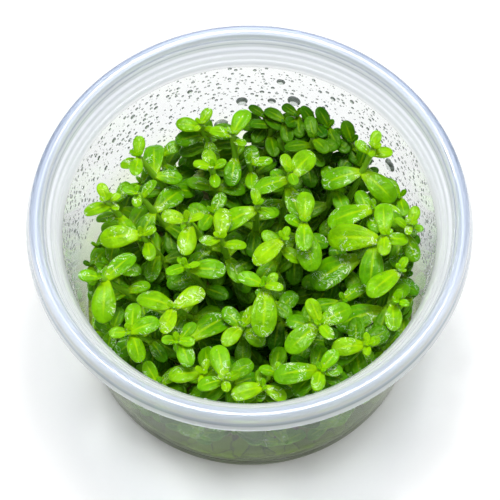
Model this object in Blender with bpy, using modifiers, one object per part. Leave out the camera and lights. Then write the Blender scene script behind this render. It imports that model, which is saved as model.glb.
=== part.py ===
"""Bacopa shoots grown in gel, in a round clear plastic cup with a rolled rim."""

import math

import bmesh
import bpy
import numpy as np
from mathutils import Vector

MM = 0.001

# Cup, in millimetres, z = 0 at the foot it stands on
CUP_HEIGHT = 57.5
RIM_RADIUS = 50.0
SKIRT_RADIUS = 51.0
SKIRT_DROP = 4.6
SHOULDER_RADIUS = 43.15
SHOULDER_DROP = 8.3
BASE_RADIUS = 41.7
WALL = 0.8
FLOOR = 1.0
FLOOR_ROUND = 1.6
FOOT_BEVEL = 1.0
FOOT_RING_WIDTH = 2.6
FOOT_RING_DEPTH = 0.8
FOOT_RING_SLOPE = 0.6
CUP_STEPS = 40

# Rim bead, as (inward from RIM_RADIUS, below the top): inside, outside and back under the skirt
RIM_INSIDE = ((4.7, 4.9), (3.4, 2.0), (2.9, 0.7), (0.8, 0.0))
RIM_OUTSIDE = ((0.1, 0.5), (-0.15, 1.4))
RIM_UNDER = ((0.9, 1.9), (2.3, 2.4), (3.8, 5.3))

# Culture gel, a disc in the bottom of the cup
GEL_TOP = 8.0
GEL_STEPS = 24

# Clearance kept between neighbouring pieces
GAP = 0.3

# Stems: square in section, thinner towards the tip, measured from the middle to a corner
STEM_FOOT = 1.05
STEM_TIP = 0.75
NODE_HEIGHT = 1.2
TIP_BUD = 1.2

# Leaves
LEAF_WIDTH_SHARE = 0.56
LEAF_THICKNESS = 0.85
TIP_THICKNESS = 0.5
WIDEST_AT = 0.6
NECK_SHARE = 0.34
CUT_AT = 0.93
LARGE_LEAF = 9.0
SMALL_LEAF = 5.2
LEAF_ROLL = 14.0

# Pairs below the stated nodes: more of them on the shoots that show through the wall
LOWER_GAP = 6.0
LOWER_LEAVES = (7.5, 6.5, 5.5)
LOWEST_NODE = GEL_TOP + 3.5
MIDDLE_SHOOT = 24.0
OUTER_SHOOT = 30.0

# Planting plan, one line a shoot, in millimetres and degrees: where its tip is, where it
# leaves the gel, then its nodes from the tip down. A node is the stem length above it,
# followed by the heading and the length of each of its leaves. Heading 0 is +X, 90 is +Y.
SHOOTS = (
    ((-12, 34, 38), (-6, 30), (1, 60, 5, 240, 3), (1.6, 160, 7, 345, 3), (9, 70, 5, 250, 6)),
    ((-27, 23, 42), (-14, 17), (1, 88, 5.5, 262, 6), (1.6, 178, 5.5), (6, 92, 10, 130, 6, 10, 7)),
    ((-27, 14, 40), (-15, 9), (1, 165, 4, 265, 4.5), (1.6, 50, 5.5), (6, 55, 10, 242, 10)),
    ((-34, 11, 42), (-24, 8), (1, 115, 5, 65, 5), (1.6, 205, 7, 320, 3), (5, 305, 7.5, 190, 6)),
    ((-26, 4, 38), (-17, 1), (1, 185, 10.5, 20, 4), (3, 165, 9.5, 280, 6)),
    ((-35, -9, 42), (-21, -8), (0.8, 180, 5.5, 140, 6), (1.8, 268, 11, 45, 9.5), (9, 200, 6, 20, 6)),
    ((-18, -16, 40), (-11, -11), (1, 262, 7.5, 30, 8.5), (1.6, 160, 10)),
    ((-17, -25, 41), (-8, -14), (1, 175, 4, 345, 4.5), (1.6, 262, 7.5, 65, 5.5), (7, 38, 12, 215, 5)),
    ((-15, 5, 43), (-5, 3), (1, 168, 6.5, 15, 4.5), (1.6, 262, 8.5, 85, 3.5), (6, 140, 6)),
    ((-15, -6, 41), (-9, -4), (1, 205, 5.5, 30, 3.5), (1.6, 318, 9, 130, 4)),
    ((-7, 1, 42), (-3, -1), (1, 84, 8, 200, 4.5), (3, 350, 6, 170, 6)),
    ((-4, 30, 40), (-2, 22), (1, 62, 8, 172, 6), (1.6, 330, 4), (5.5, 252, 8, 70, 5)),
    ((-9, 22, 38), (-7, 18), (1, 172, 5, 20, 4), (2, 105, 6.5, 280, 5)),
    ((10, 18, 43), (7, 12), (1, 112, 5, 285, 4.5), (2.5, 200, 9.5, 52, 10), (2.5, 290, 9, 130, 6)),
    ((13, 4, 44), (10, 5), (1, 86, 8, 230, 8), (3, 282, 11.5, 150, 5)),
    ((8, 0, 43), (5, -1), (1, 222, 9.5, 40, 3.5), (4, 140, 6, 320, 6)),
    ((2, 9, 43), (1, 9), (1, 100, 4.5, 146, 6), (1.8, 240, 11, 330, 5), (5, 20, 6, 180, 6)),
    ((30, 23, 45), (21, 14), (1, 75, 5, 255, 3), (1.6, 140, 5, 15, 5.5), (6, 176, 10.5, 336, 11)),
    ((32, 0, 45), (15, -5), (1, 90, 8.5, 265, 6), (2, 172, 13, 10, 7), (2, 300, 11), (6, 205, 14)),
    ((38, 3, 44), (32, 3), (1, 70, 5, 250, 3.5), (2, 170, 4, 340, 4)),
    ((35, -8, 42), (28, -8), (1, 240, 10.5, 60, 4)),
    ((34, -16, 43), (25, -14), (0.8, 330, 3.5, 150, 4), (2, 278, 7.5, 95, 4), (5, 193, 12.5, 20, 5)),
    ((16, -22, 44), (12, -16), (1, 112, 6.5, 300, 5.5), (1.8, 222, 10, 28, 9), (5, 160, 7, 340, 6)),
    ((3, -12, 44), (9, -14), (1, 162, 6.5, 340, 5), (1.6, 266, 12, 88, 4.5), (7, 320, 6, 140, 5)),
    ((27, -27, 43), (19, -20), (0.8, 100, 3, 260, 3.5), (1.8, 187, 8, 20, 4)),
    ((16, -33, 43), (12, -26), (1, 56, 6, 258, 6), (1.8, 163, 11, 0, 5.5)),
    ((7, -32, 38), (4, -24), (0.8, 110, 3, 290, 3), (3, 350, 7, 170, 5)),
    ((-28, -23, 42), (-20, -17), (1, 190, 5, 0, 7.5), (1.6, 125, 7.5, 285, 8)),
    ((-11, -32, 39), (-8, -25), (1, 95, 3.5, 270, 4), (1.8, 185, 8.5, 10, 5)),
    ((-6, -35, 43), (-3, -28), (1, 102, 8.5, 280, 4), (1.8, 200, 7, 20, 4)),
    ((-2, -19, 36), (-1, -18), (1, 230, 7, 50, 6), (2, 140, 7, 320, 7)),
    ((3, -35, 38), (2, -30), (1, 172, 8, 10, 6), (4, 80, 5, 260, 4)),
    ((30, 11, 37), (24, 9), (1, 195, 12, 20, 7), (3, 110, 7, 290, 6)),
    ((0, 26, 33), (3, 22), (1, 0, 6, 180, 5), (3, 90, 7, 270, 6)),
    ((-9, 12, 33), (-9, 11), (1, 60, 6, 240, 6), (3, 150, 7, 330, 6)),
    ((16, 30, 38), (12, 25), (1, 100, 6, 280, 6), (2.5, 10, 7, 190, 7)),
    ((22, 19, 35), (17, 16), (1, 20, 7, 200, 7), (3, 110, 7, 290, 7)),
    ((6, 37, 32), (3, 31), (1, 0, 5, 180, 6), (3, 90, 3, 270, 7)),
    ((-22, 30, 30), (-19, 25), (1, 30, 6, 210, 6), (3, 120, 4, 300, 7)),
    ((-34, 0, 30), (-29, 0), (1, 80, 6, 260, 6), (3, 170, 5, 350, 7)),
    ((22, -12, 34), (19, -8), (1, 60, 7, 240, 7), (3, 330, 7, 150, 7)),
    ((-22, -31, 30), (-19, -26), (1, 120, 6, 300, 6), (3, 30, 7, 210, 5)),
    ((37, 16, 33), (31, 14), (1, 90, 6, 270, 6), (3, 180, 7)),
    ((13, 36, 32), (12, 33), (1, 60, 4, 240, 6), (3, 150, 6, 330, 6)),
    ((21, 32, 34), (19, 29), (1, 130, 6, 310, 6), (3, 40, 5, 220, 6)),
    ((29, 25, 32), (27, 23), (1, 100, 6, 280, 6), (3, 190, 6, 10, 4)),
    ((-16, -34, 25), (-15, -32), (1, 20, 6, 200, 6), (3, 110, 6, 290, 4)),
    ((10, -36, 24), (9, -33), (1, 170, 6, 350, 6), (3, 80, 6, 260, 3.5)),
    ((21, -31, 27), (20, -29), (1, 30, 6, 210, 6), (3, 120, 6, 300, 4)),
    ((-4, -38, 22), (-4, -35), (1, 10, 6, 190, 6), (3, 100, 5)),
    ((-33, -16, 27), (-31, -15), (1, 70, 6, 250, 6), (3, 160, 4, 340, 6)),
    ((38, -2, 26), (34, -2), (1, 80, 6, 260, 6), (3, 170, 6)),
    ((32, -22, 27), (29, -21), (1, 50, 6, 230, 6), (3, 140, 6, 320, 4)),
    ((-11, 37, 24), (-11, 35), (1, 0, 6, 180, 6), (3, 270, 6)),
    ((-33, 19, 26), (-30, 17), (1, 60, 6, 240, 6), (3, 150, 4, 330, 6)),
    ((-27, 25, 24), (-26, 24), (1, 40, 6, 220, 6), (3, 310, 6)),
)

# How the plan looks for room, nearest variant first: turns of heading, of pitch, and length
HEADING_TURNS = (0, 9, -9, 18, -18, 27, -27, 38, -38)
PITCH_TURNS = (0, 12, -12, 24, -22)
LENGTH_SHARES = (1.0, 0.85, 0.7)
LEAF_REACH = 1.6
STEM_REACH = 2.1
OWN_LEAF_REACH = 1.3
OWN_STEM_REACH = 1.5
NODE_REACH = 2.0
WALL_REACH = 0.95
SAMPLE_STEP = 1.3

COLLECTION = "tissue_culture_bacopa"


def clear_scene():
    for obj in list(bpy.data.objects):
        bpy.data.objects.remove(obj, do_unlink=True)


def make_material(name, colour, roughness, transmission=0.0):
    material = bpy.data.materials.new(name)
    material.use_nodes = True
    shader = material.node_tree.nodes["Principled BSDF"]
    shader.inputs["Base Color"].default_value = (*colour, 1.0)
    shader.inputs["Roughness"].default_value = roughness
    shader.inputs["Metallic"].default_value = 0.0
    shader.inputs["Transmission Weight"].default_value = transmission
    material.diffuse_color = (*colour, 1.0)
    return material


def turned(name, profile, steps, material, collection):
    """Turn a profile of (radius, height) points in millimetres about the z axis."""
    mesh = bpy.data.meshes.new(name)
    points = [(radius * MM, 0.0, height * MM) for radius, height in profile]
    edges = [(i, i + 1) for i in range(len(points) - 1)]
    mesh.from_pydata(points, edges, [])
    obj = bpy.data.objects.new(name, mesh)
    collection.objects.link(obj)
    screw = obj.modifiers.new("turn", "SCREW")
    screw.axis = "Z"
    screw.steps = steps
    screw.render_steps = steps
    screw.use_merge_vertices = True
    screw.merge_threshold = 0.00001
    screw.use_smooth_shade = True
    mesh.materials.append(material)
    return obj


def wall_inside(height):
    """Inner radius of the tapered wall at a height, straight from the floor to the shoulder."""
    top = CUP_HEIGHT - SHOULDER_DROP
    bottom_radius = BASE_RADIUS - WALL
    return bottom_radius + (SHOULDER_RADIUS - bottom_radius) * height / top


def rim_points(steps):
    """Radius and height of points given as inward from the rim and below the top."""
    return [(RIM_RADIUS - inward, CUP_HEIGHT - drop) for inward, drop in steps]


def cup_profile():
    """Up the inner wall, over the rim and down the outside to the foot ring, axis to axis."""
    shoulder = CUP_HEIGHT - SHOULDER_DROP
    floor_top = FOOT_RING_DEPTH + FLOOR
    ring_outside = BASE_RADIUS - FOOT_BEVEL
    ring_inside = ring_outside - FOOT_RING_WIDTH
    inner = [
        (0.0, floor_top),
        (wall_inside(floor_top) - FLOOR_ROUND, floor_top),
        (wall_inside(floor_top + FLOOR_ROUND), floor_top + FLOOR_ROUND),
        (SHOULDER_RADIUS, shoulder),
    ]
    skirt = [
        (SKIRT_RADIUS, CUP_HEIGHT - SKIRT_DROP),
        (SKIRT_RADIUS - WALL, CUP_HEIGHT - SKIRT_DROP),
    ]
    outer = [
        (SHOULDER_RADIUS + WALL, shoulder - WALL / 4),
        (BASE_RADIUS, FOOT_BEVEL),
        (ring_outside, 0.0),
        (ring_inside, 0.0),
        (ring_inside - FOOT_RING_SLOPE, FOOT_RING_DEPTH),
        (0.0, FOOT_RING_DEPTH),
    ]
    rim = rim_points(RIM_INSIDE + RIM_OUTSIDE) + skirt + rim_points(RIM_UNDER)
    return inner + rim + outer


def gel_profile():
    """From the axis at the top, down the side and back to the axis at the bottom."""
    bottom = FOOT_RING_DEPTH + FLOOR + GAP
    facet = math.cos(math.pi / CUP_STEPS)
    top_radius = wall_inside(GEL_TOP) * facet - GAP
    bottom_radius = wall_inside(bottom) * facet - FLOOR_ROUND - GAP
    side = bottom + FLOOR_ROUND
    return [
        (0.0, GEL_TOP),
        (top_radius, GEL_TOP),
        (wall_inside(side) * facet - GAP, side),
        (bottom_radius, bottom),
        (0.0, bottom),
    ]


def stem_path(tip, root):
    """Points from the tip down to the gel: a cubic curve, most upright where it leaves the gel."""
    foot = np.array([root[0], root[1], GEL_TOP + GAP])
    end = np.array(tip, float)
    near_tip = end - (end - foot) * np.array([0.5, 0.5, 0.35])
    near_foot = foot + (end - foot) * np.array([0.15, 0.15, 0.4])
    t = np.linspace(0.0, 1.0, 61)[:, None]
    s = 1 - t
    return s**3 * end + 3 * s**2 * t * near_tip + 3 * s * t**2 * near_foot + t**3 * foot


def distances(path):
    """Length along a path from its first point to each of its points."""
    steps = np.sqrt(((path[1:] - path[:-1]) ** 2).sum(1))
    return np.concatenate([[0.0], np.cumsum(steps)])


def at_length(path, lengths, where):
    """Point and upward direction of the stem at a distance from its tip."""
    point = np.array([np.interp(where, lengths, path[:, axis]) for axis in range(3)])
    ahead = np.array([np.interp(where + 0.5, lengths, path[:, axis]) for axis in range(3)])
    behind = np.array([np.interp(where - 0.5, lengths, path[:, axis]) for axis in range(3)])
    upward = behind - ahead
    return point, upward / np.sqrt((upward**2).sum())


def leaf_pitch(length, young):
    """Young leaves at the tip stand up, longer ones spread, in degrees at the leaf's foot."""
    return 46.0 - 2.6 * length if young else 26.0 - 1.4 * length


def leaf_frame(foot, heading, pitch, length, u):
    """Centre line, upper normal and sideways vector of a leaf at shares u of its length.

    The line is an arc: its pitch falls from pitch at the foot by droop at the tip, so that
    out = L / b (sin p - sin(p - b u)) and up = L / b (cos(p - b u) - cos p).
    The blade is rolled about its line a little, this way or that by its heading and length.
    """
    droop = math.radians(22.0 + 2.4 * length)
    p = math.radians(pitch)
    turned_pitch = p - droop * u
    out = length / droop * (math.sin(p) - np.sin(turned_pitch))
    rise = length / droop * (np.cos(turned_pitch) - math.cos(p))
    a = math.radians(heading)
    level = np.array([math.cos(a), math.sin(a), 0.0])
    upright = np.array([0.0, 0.0, 1.0])
    centre = foot + out[:, None] * level + rise[:, None] * upright
    flat_side = np.array([-math.sin(a), math.cos(a), 0.0])
    flat_normal = np.cos(turned_pitch)[:, None] * upright - np.sin(turned_pitch)[:, None] * level
    roll = math.radians(LEAF_ROLL * math.sin(3.0 * a + 5.0 * length)) * np.minimum(3.0 * u, 1.0)
    normal = np.cos(roll)[:, None] * flat_normal - np.sin(roll)[:, None] * flat_side
    side = np.cos(roll)[:, None] * flat_side + np.sin(roll)[:, None] * flat_normal
    return centre, normal, side


def leaf_width(u, length):
    """Full width at shares u: a narrow foot that swells to WIDEST_AT and closes in an ellipse."""
    swell = np.clip(u / WIDEST_AT, 0.0, 1.0)
    rising = NECK_SHARE + (1 - NECK_SHARE) * np.sin(swell * math.pi / 2) ** 1.3
    closing = np.sqrt(np.clip(1 - ((u - WIDEST_AT) / (1.001 - WIDEST_AT)) ** 2, 0.0, 1.0))
    share = LEAF_WIDTH_SHARE * (1.12 - 0.012 * length)
    return length * share * np.where(u < WIDEST_AT, rising, closing)


def leaf_samples(foot, heading, pitch, length):
    """Points spread over a leaf's middle surface."""
    rows = max(4, int(math.ceil(length / SAMPLE_STEP)))
    u = np.linspace(0.12, 1.0, rows)
    centre, _, side = leaf_frame(foot, heading, pitch, length, u)
    half = leaf_width(np.minimum(u, 0.97), length) / 2
    across = np.linspace(-1.0, 1.0, 5)
    points = centre[:, None, :] + (half[:, None] * across)[:, :, None] * side[:, None, :]
    return points.reshape(-1, 3)


def nearest(points, others, reach):
    """Whether any of the points comes within reach of any of the others."""
    if not len(others) or not len(points):
        return False
    low = points.min(0) - reach
    high = points.max(0) + reach
    close = others[((others > low) & (others < high)).all(1)]
    if not len(close):
        return False
    gaps = ((points[:, None, :] - close[None, :, :]) ** 2).sum(2)
    return gaps.min() < reach**2


def away_from(foot, points):
    """The points that lie outside a node, where a leaf and its stem are one."""
    return points[((points - foot) ** 2).sum(1) > NODE_REACH**2]


def inside_cup(points):
    radius = np.sqrt((points[:, :2] ** 2).sum(1))
    facet = math.cos(math.pi / CUP_STEPS)
    room = wall_inside(np.minimum(points[:, 2], CUP_HEIGHT - SHOULDER_DROP)) * facet
    return (radius < room - WALL_REACH).all() and points[:, 2].min() > GEL_TOP + 0.9


def lower_pairs(root):
    radius = math.hypot(*root)
    return 1 + (radius > MIDDLE_SHOOT) + (radius > OUTER_SHOOT)


class Plan:
    """Finds room for every leaf, and remembers what already stands in the cup."""

    def __init__(self):
        self.stems = []
        self.leaf_points = np.zeros((0, 3))
        self.leaf_owner = np.zeros(0, int)
        for tip, root, *_ in SHOOTS:
            path = stem_path(tip, root)
            self.stems.append({"path": path, "lengths": distances(path), "nodes": []})
        sampled = [stem["path"][::2] for stem in self.stems]
        self.stem_points = np.concatenate(sampled)
        self.stem_owner = np.concatenate([[i] * len(s) for i, s in enumerate(sampled)])

    def fits(self, shoot, foot, points):
        """Clear of the wall, of the other shoots and, away from its own node, of its own shoot."""
        if not inside_cup(points):
            return False
        if nearest(points, self.stem_points[self.stem_owner != shoot], STEM_REACH):
            return False
        if nearest(points, self.leaf_points[self.leaf_owner != shoot], LEAF_REACH):
            return False
        outer = away_from(foot, points)
        own_stem = self.stem_points[self.stem_owner == shoot]
        own_leaves = self.leaf_points[self.leaf_owner == shoot]
        if nearest(outer, away_from(foot, own_stem), OWN_STEM_REACH):
            return False
        return not nearest(outer, away_from(foot, own_leaves), OWN_LEAF_REACH)

    def place(self, shoot, node, heading, length, young):
        """Try the leaf as planned, then turned, tipped and shortened, and keep the first that fits."""
        for share in LENGTH_SHARES:
            for tip_turn in PITCH_TURNS:
                for turn in HEADING_TURNS:
                    size = length * share
                    pitch = leaf_pitch(size, young) + tip_turn
                    points = leaf_samples(node["point"], heading + turn, pitch, size)
                    if self.fits(shoot, node["point"], points):
                        self.leaf_points = np.concatenate([self.leaf_points, points])
                        owner = np.full(len(points), shoot)
                        self.leaf_owner = np.concatenate([self.leaf_owner, owner])
                        node["leaves"].append((heading + turn, pitch, size))
                        return

    def add_node(self, shoot, where, leaves, young):
        stem = self.stems[shoot]
        point, upward = at_length(stem["path"], stem["lengths"], where)
        node = {"where": where, "point": point, "up": upward, "leaves": []}
        for heading, length in leaves:
            self.place(shoot, node, heading, length, young)
        stem["nodes"].append(node)

    def named_nodes(self):
        """The nodes that the planting plan states, for all the shoots."""
        for shoot, (_, _, *nodes) in enumerate(SHOOTS):
            where = 0.0
            for rank, (gap, *leaves) in enumerate(nodes):
                where += gap
                pairs = list(zip(leaves[0::2], leaves[1::2]))
                self.add_node(shoot, where, pairs, rank < 2)

    def lower_nodes(self):
        """Pairs that cross at right angles below the stated nodes, down to the gel."""
        for shoot, stem in enumerate(self.stems):
            heading = SHOOTS[shoot][-1][1]
            where = stem["nodes"][-1]["where"]
            for length in LOWER_LEAVES[:lower_pairs(SHOOTS[shoot][1])]:
                where += LOWER_GAP
                heading += 90
                if where > stem["lengths"][-1]:
                    break
                height = np.interp(where, stem["lengths"], stem["path"][:, 2])
                if height < LOWEST_NODE:
                    break
                self.add_node(shoot, where, [(heading, length), (heading + 180, length)], False)


def plan_shoots():
    plan = Plan()
    plan.named_nodes()
    plan.lower_nodes()
    return plan.stems


def corners(centre, across, upward, half_width, half_height):
    """Four corners round a centre, running from across towards upward."""
    return [
        centre + across * half_width - upward * half_height,
        centre + across * half_width + upward * half_height,
        centre - across * half_width + upward * half_height,
        centre - across * half_width - upward * half_height,
    ]


def carry_on(bm, face, targets):
    """Extrude a four-sided face on to four new corners, keeping it untwisted."""
    face = bmesh.ops.extrude_discrete_faces(bm, faces=[face])["faces"][0]
    verts = list(face.verts)
    middle = sum((v.co for v in verts), Vector()) / 4
    goal = sum((Vector(p) for p in targets), Vector()) / 4
    now = [(v.co - middle).normalized() for v in verts]
    then = [(Vector(p) - goal).normalized() for p in targets]
    shifts = [sum(now[i].dot(then[(i + s) % 4]) for i in range(4)) for s in range(4)]
    best = shifts.index(max(shifts))
    for i, vert in enumerate(verts):
        vert.co = Vector(targets[(i + best) % 4])
    return face


def square(centre, upward, heading_vector, reach):
    """Corners of a square round a stem whose first side faces heading_vector."""
    across = np.cross(heading_vector, upward)
    half = reach / math.sqrt(2)
    return corners(centre, across, heading_vector, half, half)


def level_out(direction, upward):
    """The part of a direction that is square to the stem, as a unit vector."""
    flat = direction - upward * direction.dot(upward)
    return flat / np.sqrt(flat.dot(flat))


def leaf_stations(size):
    """Shares of a leaf's length where its solid has a section: few on a small leaf."""
    if size >= LARGE_LEAF:
        return (0.3, 0.66, 1.0)
    return (0.5, 1.0) if size >= SMALL_LEAF else (0.85,)


def grow_leaf(bm, face, node, heading, pitch, size):
    u = np.array(leaf_stations(size))
    centre, normal, side = leaf_frame(node["point"], heading, pitch, size, u)
    width = leaf_width(np.minimum(u, CUT_AT), size)
    for i in range(len(u)):
        thickness = LEAF_THICKNESS if u[i] < 1.0 else TIP_THICKNESS
        ring = corners(centre[i], side[i], normal[i], width[i] / 2, thickness / 2)
        face = carry_on(bm, face, [p * MM for p in ring])


def side_faces(top):
    """The four faces around the ring that ends in the top face."""
    found = []
    for edge in top.edges:
        found += [face for face in edge.link_faces if face != top]
    return found


def node_heading(node):
    """The direction that a node's first leaf leaves its stem in, square to the stem."""
    heading = node["leaves"][0][0] if node["leaves"] else 0.0
    a = math.radians(heading)
    direction = np.array([math.cos(a), math.sin(a), 0.3])
    return level_out(direction, node["up"])


def grow_shoot(name, stem, materials, collection):
    """A square stem extruded up from the gel, with every leaf extruded from a side of it."""
    nodes = sorted((n for n in stem["nodes"] if n["leaves"]), key=lambda n: -n["where"])
    total = stem["lengths"][-1]
    bm = bmesh.new()
    upright = np.array([0.0, 0.0, 1.0])
    first = square(stem["path"][-1], upright, node_heading(nodes[0]), STEM_FOOT)
    top = bm.faces.new([bm.verts.new(p * MM) for p in first])
    bm.normal_update()
    if top.normal.z < 0:
        top.normal_flip()
    base = top.copy(verts=False, edges=False)
    base.normal_flip()
    grown = []
    for node in nodes:
        reach = STEM_TIP + (STEM_FOOT - STEM_TIP) * node["where"] / total
        facing = node_heading(node)
        half = node["up"] * NODE_HEIGHT / 2
        lower = square(node["point"] - half, node["up"], facing, reach)
        top = carry_on(bm, top, [p * MM for p in lower])
        upper = square(node["point"] + half, node["up"], facing, reach)
        top = carry_on(bm, top, [p * MM for p in upper])
        grown.append((node, side_faces(top)))
    tip, upward = at_length(stem["path"], stem["lengths"], 0.0)
    end = tip + upward * TIP_BUD / 2
    bud = square(end, upward, node_heading(nodes[-1]), STEM_TIP / 2)
    carry_on(bm, top, [p * MM for p in bud])
    for node, sides in grown:
        bm.normal_update()
        free = list(sides)
        for heading, pitch, size in node["leaves"]:
            a = math.radians(heading)
            out = Vector((math.cos(a), math.sin(a), 0.3))
            face = max(free, key=lambda f: f.normal.dot(out))
            free.remove(face)
            grow_leaf(bm, face, node, heading, pitch, size)
    mesh = bpy.data.meshes.new(name)
    bm.to_mesh(mesh)
    bm.free()
    mesh.set_sharp_from_angle(angle=math.radians(35))
    mesh.materials.append(materials["leaf"])
    obj = bpy.data.objects.new(name, mesh)
    collection.objects.link(obj)
    return obj


def main():
    clear_scene()
    collection = bpy.data.collections.new(COLLECTION)
    bpy.context.scene.collection.children.link(collection)
    materials = {
        "plastic": make_material("clear_plastic", (0.90, 0.93, 0.96), 0.08, 1.0),
        "gel": make_material("culture_gel", (0.72, 0.68, 0.48), 0.25, 0.3),
        "leaf": make_material("bacopa_green", (0.22, 0.47, 0.02), 0.35),
    }
    turned("cup", cup_profile(), CUP_STEPS, materials["plastic"], collection)
    turned("culture_gel", gel_profile(), GEL_STEPS, materials["gel"], collection)
    for number, stem in enumerate(plan_shoots(), 1):
        grow_shoot(f"bacopa_shoot_{number:02d}", stem, materials, collection)


main()
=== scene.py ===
import itertools
import math

import bpy
import numpy as np
from mathutils import Matrix


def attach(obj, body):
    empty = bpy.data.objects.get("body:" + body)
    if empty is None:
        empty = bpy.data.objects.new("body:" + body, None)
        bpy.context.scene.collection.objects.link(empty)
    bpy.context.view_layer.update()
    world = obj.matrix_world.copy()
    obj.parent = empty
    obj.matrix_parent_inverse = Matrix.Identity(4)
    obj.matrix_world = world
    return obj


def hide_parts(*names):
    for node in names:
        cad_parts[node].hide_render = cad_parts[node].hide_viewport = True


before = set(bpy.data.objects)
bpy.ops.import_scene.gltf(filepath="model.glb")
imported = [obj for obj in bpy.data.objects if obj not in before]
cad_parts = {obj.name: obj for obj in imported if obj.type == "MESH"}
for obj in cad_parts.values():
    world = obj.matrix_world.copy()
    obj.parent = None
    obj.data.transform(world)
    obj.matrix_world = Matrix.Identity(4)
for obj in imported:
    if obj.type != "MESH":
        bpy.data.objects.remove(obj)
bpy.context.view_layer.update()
mm = 0.001
print("frame loaded:", len(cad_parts), "solids")


# Sizes in millimetres, z = 0 at the foot the cup stands on
cup = {
    "height": 57.5,
    "rimRadius": 50.0,
    "shoulderRadius": 43.15,
    "shoulderDrop": 8.3,
    "baseRadius": 41.7,
    "wall": 0.8,
    "solidSteps": 40,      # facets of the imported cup, which the plants keep clear of
    "steps": 176,          # facets of the visible cup
    "cornerPoints": 5,
    "wallFinish": {
        # low on the wall and foot, a painted green cast stands in for the plants seen through the plastic
        "tint": (0.87, 0.88, 0.88), "paintedGreenCast": (0.85, 0.9, 0.74), "clearness": 1.0,
        "roughness": 0.0, "refraction": 1.16, "lampsPass": (0.84, 0.86, 0.87),
    },
    "rimFinish": {
        "tint": None, "clearness": 0.6,    # tinted by the bands below
        "roughness": 0.08, "refraction": 1.49, "lampsPass": (0.5, 0.52, 0.55),
    },
    "footFinish": {
        "tint": (0.8, 0.84, 0.76), "paintedGreenCast": (0.8, 0.84, 0.7), "clearness": 0.5,
        "roughness": 0.12, "refraction": 1.3, "lampsPass": (0.66, 0.68, 0.66),
    },
    "footTop": 1.9,        # the plastic below this has the foot's finish
    "rimStart": 0.4,       # the rim's finish starts this far below the shoulder
    "paintedGreenCastHeights": (0.016, 0.032),    # metres over which the low tint gives way to the other
    # painted shading of the rim: dark lines, white highlights and blue edge reflections, by the distance from
    # its crest along the profile, inside negative
    "paintedRimShades": (
        (-11.6, (238, 240, 243)), (-10.4, (232, 234, 238)), (-9.4, (250, 251, 253)), (-7.2, (248, 249, 252)),
        (-6.5, (236, 238, 243)), (-6.0, (250, 251, 254)), (-4.8, (248, 250, 253)), (-4.45, (208, 212, 220)),
        (-4.1, (250, 252, 255)), (-3.5, (246, 249, 254)), (-3.2, (196, 205, 218)), (-2.8, (250, 253, 255)),
        (-1.9, (250, 253, 255)), (-1.5, (236, 243, 253)), (-1.1, (220, 230, 247)), (0.1, (212, 224, 246)),
    ),
    # painted shade and highlights of the rim's outer edge, one set where it is seen at the back and one at
    # the front
    "paintedBackEdge": (
        (0.38, (166, 179, 206)), (1.5, (150, 164, 192)), (1.9, (236, 242, 252)),
        (2.7, (236, 242, 252)), (3.2, (206, 215, 228)), (3.7, (160, 172, 184)), (4.2, (236, 242, 250)),
        (6.4, (232, 238, 246)),
    ),
    "paintedFrontEdge": (
        (1.25, (240, 247, 255)), (1.9, (255, 255, 255)), (2.6, (250, 253, 255)), (3.0, (214, 224, 236)),
        (3.7, (180, 191, 200)), (4.2, (250, 253, 255)), (6.4, (250, 253, 255)),
    ),
    # the painted front edge gives way to the painted back edge over this stretch
    "paintedEdgeTurns": (-0.036, 0.03),    # from the front edge to the back edge, in metres along y
}

gel = {
    "top": 8.0,
    "gap": 0.3,
    "bottom": 2.1,
    "cornerHeight": 3.7,   # the side ends here, and the bottom is this much narrower than the cup:
    "cornerInset": 1.9,
    "steps": 112,
    "rings": 34,
    "lumps": 0.22,
    "lumpLevel": 0.7,      # how far the lumps are let down, as a share of their height
    "lumpFade": 4.0,       # the top is even at the edge, and has its full lumps this far in
    # screen colours: the gel, its grains, the leaves pressed flat against the wall, and the painted shade
    # between them
    "dull": (172, 164, 98),
    "pale": (198, 190, 140),
    "grain": (120, 128, 70),
    "pressedDark": (122, 150, 40),
    "pressedLight": (172, 210, 56),
    "paintedGapShade": (88, 100, 44),
    "pressedFrom": (0.0345, 0.0385),    # metres from the axis
}

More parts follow.
